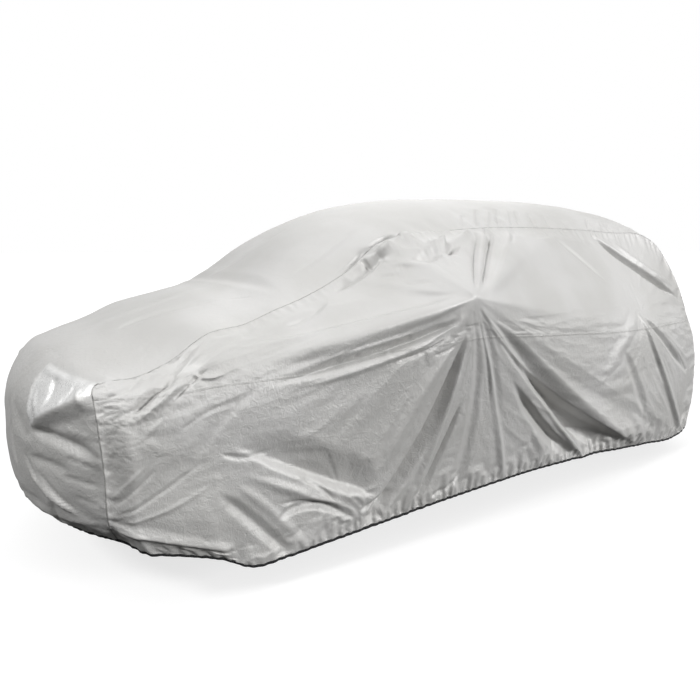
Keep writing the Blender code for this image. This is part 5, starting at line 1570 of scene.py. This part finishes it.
def make_studio():
    scene = bpy.context.scene
    world = bpy.data.worlds.new("studio")
    scene.world = world
    world.use_nodes = True
    tree = world.node_tree
    place = tree.nodes.new("ShaderNodeTexCoord")
    parts = tree.nodes.new("ShaderNodeSeparateXYZ")
    tree.links.new(place.outputs["Generated"], parts.inputs[0])
    climb = tree.nodes.new("ShaderNodeValToRGB")
    climb.color_ramp.elements.remove(climb.color_ramp.elements[-1])
    for n, (spot, light) in enumerate(SKY):
        stop = climb.color_ramp.elements[0] if n == 0 else climb.color_ramp.elements.new(spot)
        stop.color = (light, light, light, 1)
    half = tree.nodes.new("ShaderNodeMath")
    half.operation = "MULTIPLY_ADD"
    half.inputs[1].default_value = half.inputs[2].default_value = 0.5
    tree.links.new(parts.outputs[2], half.inputs[0])
    tree.links.new(half.outputs[0], climb.inputs[0])
    sky = tree.nodes["Background"]
    tree.links.new(climb.outputs[0], sky.inputs["Color"])
    shown = tree.nodes.new("ShaderNodeBackground")
    shown.inputs["Color"].default_value = (1, 1, 1, 1)
    path = tree.nodes.new("ShaderNodeLightPath")
    mix = tree.nodes.new("ShaderNodeMixShader")
    tree.links.new(path.outputs["Is Camera Ray"], mix.inputs[0])
    tree.links.new(sky.outputs[0], mix.inputs[1])
    tree.links.new(shown.outputs[0], mix.inputs[2])
    tree.links.new(mix.outputs[0], tree.nodes["World Output"].inputs[0])
    scene.view_settings.view_transform = "Standard"
    scene.view_settings.look = "None"
    for name, sun in SUNS.items():
        add_sun(name, *sun)
    deselect()
    bpy.ops.mesh.primitive_plane_add(size=FLOOR_SIZE, location=(0, 0, 0))
    floor = bpy.context.object
    floor.name = "floor"
    floor.data.transform(Matrix.Translation((0, 0, -ROOF_HEIGHT)))
    floor.data.materials.append(studio_floor())
    floor.visible_diffuse = floor.visible_glossy = False


# ---- making the cover ------------------------------------
FAR = 9.0                       # distance to the belt seam where there is none
# Rows of stitches: their lift off the cloth, pitch, and half length, half width and half thickness.
HEM_STITCHES = (0.0004, 0.0065, (0.0020, 0.0004, 0.0004))
HEM_STITCHES_UP = 0.006         # how far above the hem they run
BELT_STITCHES = (0.0007, 0.0055, (0.0020, 0.00045, 0.00045))
BELT_STITCHES_UP = (0.0025, 0.0055, 0.0090)     # how far above the belt seam each row runs
SEAM_STITCHES = (0.0001, 0.0075, (0.0026, 0.0007, 0.0007))
# How much of the cloth's facing and of its slope the elastic band keeps, and how much more it hangs down.
BAND_FACING, BAND_SLOPE, BAND_DOWN = (1, 1, 0.3), (0.5, 0.5, 1), (0, 0, -0.8)


def finish_piece(piece, material, stands_for=None):
    """Give a piece its finish and its body, and hide the CAD node that it replaces, if it has one."""
    piece.data.materials.append(material)
    if stands_for:
        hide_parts(stands_for)
    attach(piece, "root")


def cut_size(points):
    """Width and length of a net laid flat, and its area."""
    width, length = run_length(points, 1)[:, -1].max(), run_length(points, 0)[-1].max()
    a = np.cross(points[1:, :-1] - points[:-1, :-1], points[:-1, 1:] - points[:-1, :-1])
    b = np.cross(points[:-1, 1:] - points[1:, 1:], points[1:, :-1] - points[1:, 1:])
    area = 0.5 * (np.linalg.norm(a, axis=-1).sum() + np.linalg.norm(b, axis=-1).sum())
    return float(width), float(length), float(area)


def settle_cloth():
    """The nets of both sides and of the strip, relaxed."""
    left = Side(1, (LEFT_FOLDS, LEFT_CREASES, LEFT_PULLS, LEFT_SPARE, LEFT_CRUMPLES, LEFT_FACETS),
                COLUMNS, UPPER_ROWS, LOWER_ROWS)
    right = Side(-1, (RIGHT_FOLDS, RIGHT_CREASES, RIGHT_PULLS, RIGHT_SPARE, RIGHT_CRUMPLES, RIGHT_FACETS),
                 RIGHT_COLUMNS, RIGHT_UPPER_ROWS, RIGHT_LOWER_ROWS)
    strip = Strip(STRIP_LENGTHS, STRIP_COLUMNS)
    for side in (left, right):
        mirrored = strip.normals[:, strip_edge(side)] * (side.sign, 1, 1)
        side.set_seam(points_at(side.edge_stations, strip.stations, mirrored))
        side.settle()
    strip.settle((left, right))
    return left, right, strip


def add_panel(name, net, cloth, flat_edge=None):
    """One panel's sheet, with its edges turned in but for one, from its points, normals, maps and sign."""
    points, normals, maps, sign = net
    width, length, area = cut_size(points)
    print(f"{name}: flat {width:.2f} x {length:.2f} m, area {area:.2f} m2")
    points, normals, maps = turn_in(points, normals, maps, flat_edge)
    sheet = add_net(name + "_cloth", to_frame(points, sign), maps, sign > 0)
    finish_piece(sheet, cloth, name)


def add_panels(left, right, strip, cloth):
    far, nothing = np.full_like(strip.s, FAR), np.zeros_like(strip.s)
    maps = np.stack([strip.s, strip.across, far, strip.seam_distance, strip.gloss_and_painted_highlight, nothing], -1)
    add_panel("top_panel", (strip.points, net_normals(strip.points), maps, 1), cloth)
    for side, name in ((left, "left"), (right, "right")):
        belt = side.upper_rows
        normals = net_normals(side.points)
        place = np.broadcast_to(side.stations[:, None], side.down.shape)
        maps = [place, side.down, -side.belt_distance, side.seam_distance, side.gloss_and_painted_highlight, 0 * place]
        maps = np.stack(maps, -1)
        for part, rows, flat_edge in (("upper", slice(None, belt + 1), (1, True)),
                                      ("lower", slice(belt, None), (1, False))):
            net = side.points[:, rows], normals[:, rows], maps[:, rows], side.sign
            add_panel(f"side_{part}_{name}", net, cloth, flat_edge)


def add_binding(name, net_line, elastic, thread):
    """The elastic and its stitches at a run of the hem, given as points, normals, the way down and sign."""
    line, normals, down, sign = net_line
    normals = unit(evened(normals * BAND_FACING))
    down = unit(evened(unit(down)) * BAND_SLOPE + BAND_DOWN)
    down = unit(down - np.sum(down * normals, axis=1, keepdims=True) * normals)
    line, down, normals = to_frame(line, sign), down * (sign, 1, 1), normals * (sign, 1, 1)
    finish_piece(add_elastic(name + "_elastic", line, normals, down), elastic, name)
    row = line - HEM_STITCHES_UP * down
    finish_piece(add_stitches("stitches_" + name, [(row, normals)], *HEM_STITCHES), thread)


def add_bindings(left, right, strip, elastic, thread):
    normals, points = net_normals(strip.points), strip.points
    add_binding("binding_front", (points[0], normals[0], points[0] - points[1], 1), elastic, thread)
    add_binding("binding_rear", (points[-1], normals[-1], points[-1] - points[-2], 1), elastic, thread)
    for side, name in ((left, "binding_left"), (right, "binding_right")):
        normals, points = net_normals(side.points)[:, -1], side.points
        add_binding(name, (points[:, -1], normals, points[:, -1] - points[:, -2], side.sign), elastic, thread)


def add_seam_stitches(side, name, thread, seam_thread):
    """The rows of stitches above a side's belt seam, and those in its seam with the strip."""
    mirror = (side.sign, 1, 1)
    belt = side.upper_rows
    line = to_frame(side.points[:, belt], side.sign)
    up = net_normals(side.points)[:, belt] * mirror
    square = unit(side.points[:, belt - 1] - side.points[:, belt]) * mirror
    rows = [(line + away * square, up) for away in BELT_STITCHES_UP]
    finish_piece(add_stitches("stitches_belt_" + name, rows, *BELT_STITCHES), thread)
    seam = [(to_frame(side.seam, side.sign), side.seam_normals * mirror)]
    finish_piece(add_stitches("stitches_top_" + name, seam, *SEAM_STITCHES), seam_thread)


def make_cover():
    cloth = silver_cloth()
    thread = sewing_thread("grey_thread", (0.46, 0.455, 0.44, 1), (0.56, 0.555, 0.54, 1), 0.55)
    seam_thread = sewing_thread("dark_thread", (0.16, 0.16, 0.155, 1), (0.24, 0.24, 0.23, 1), 0.6)
    elastic = black_elastic()
    left, right, strip = settle_cloth()
    add_panels(left, right, strip, cloth)
    add_bindings(left, right, strip, elastic, thread)
    add_seam_stitches(left, "left", thread, seam_thread)
    add_seam_stitches(right, "right", thread, seam_thread)


make_camera()
make_studio()
make_cover()
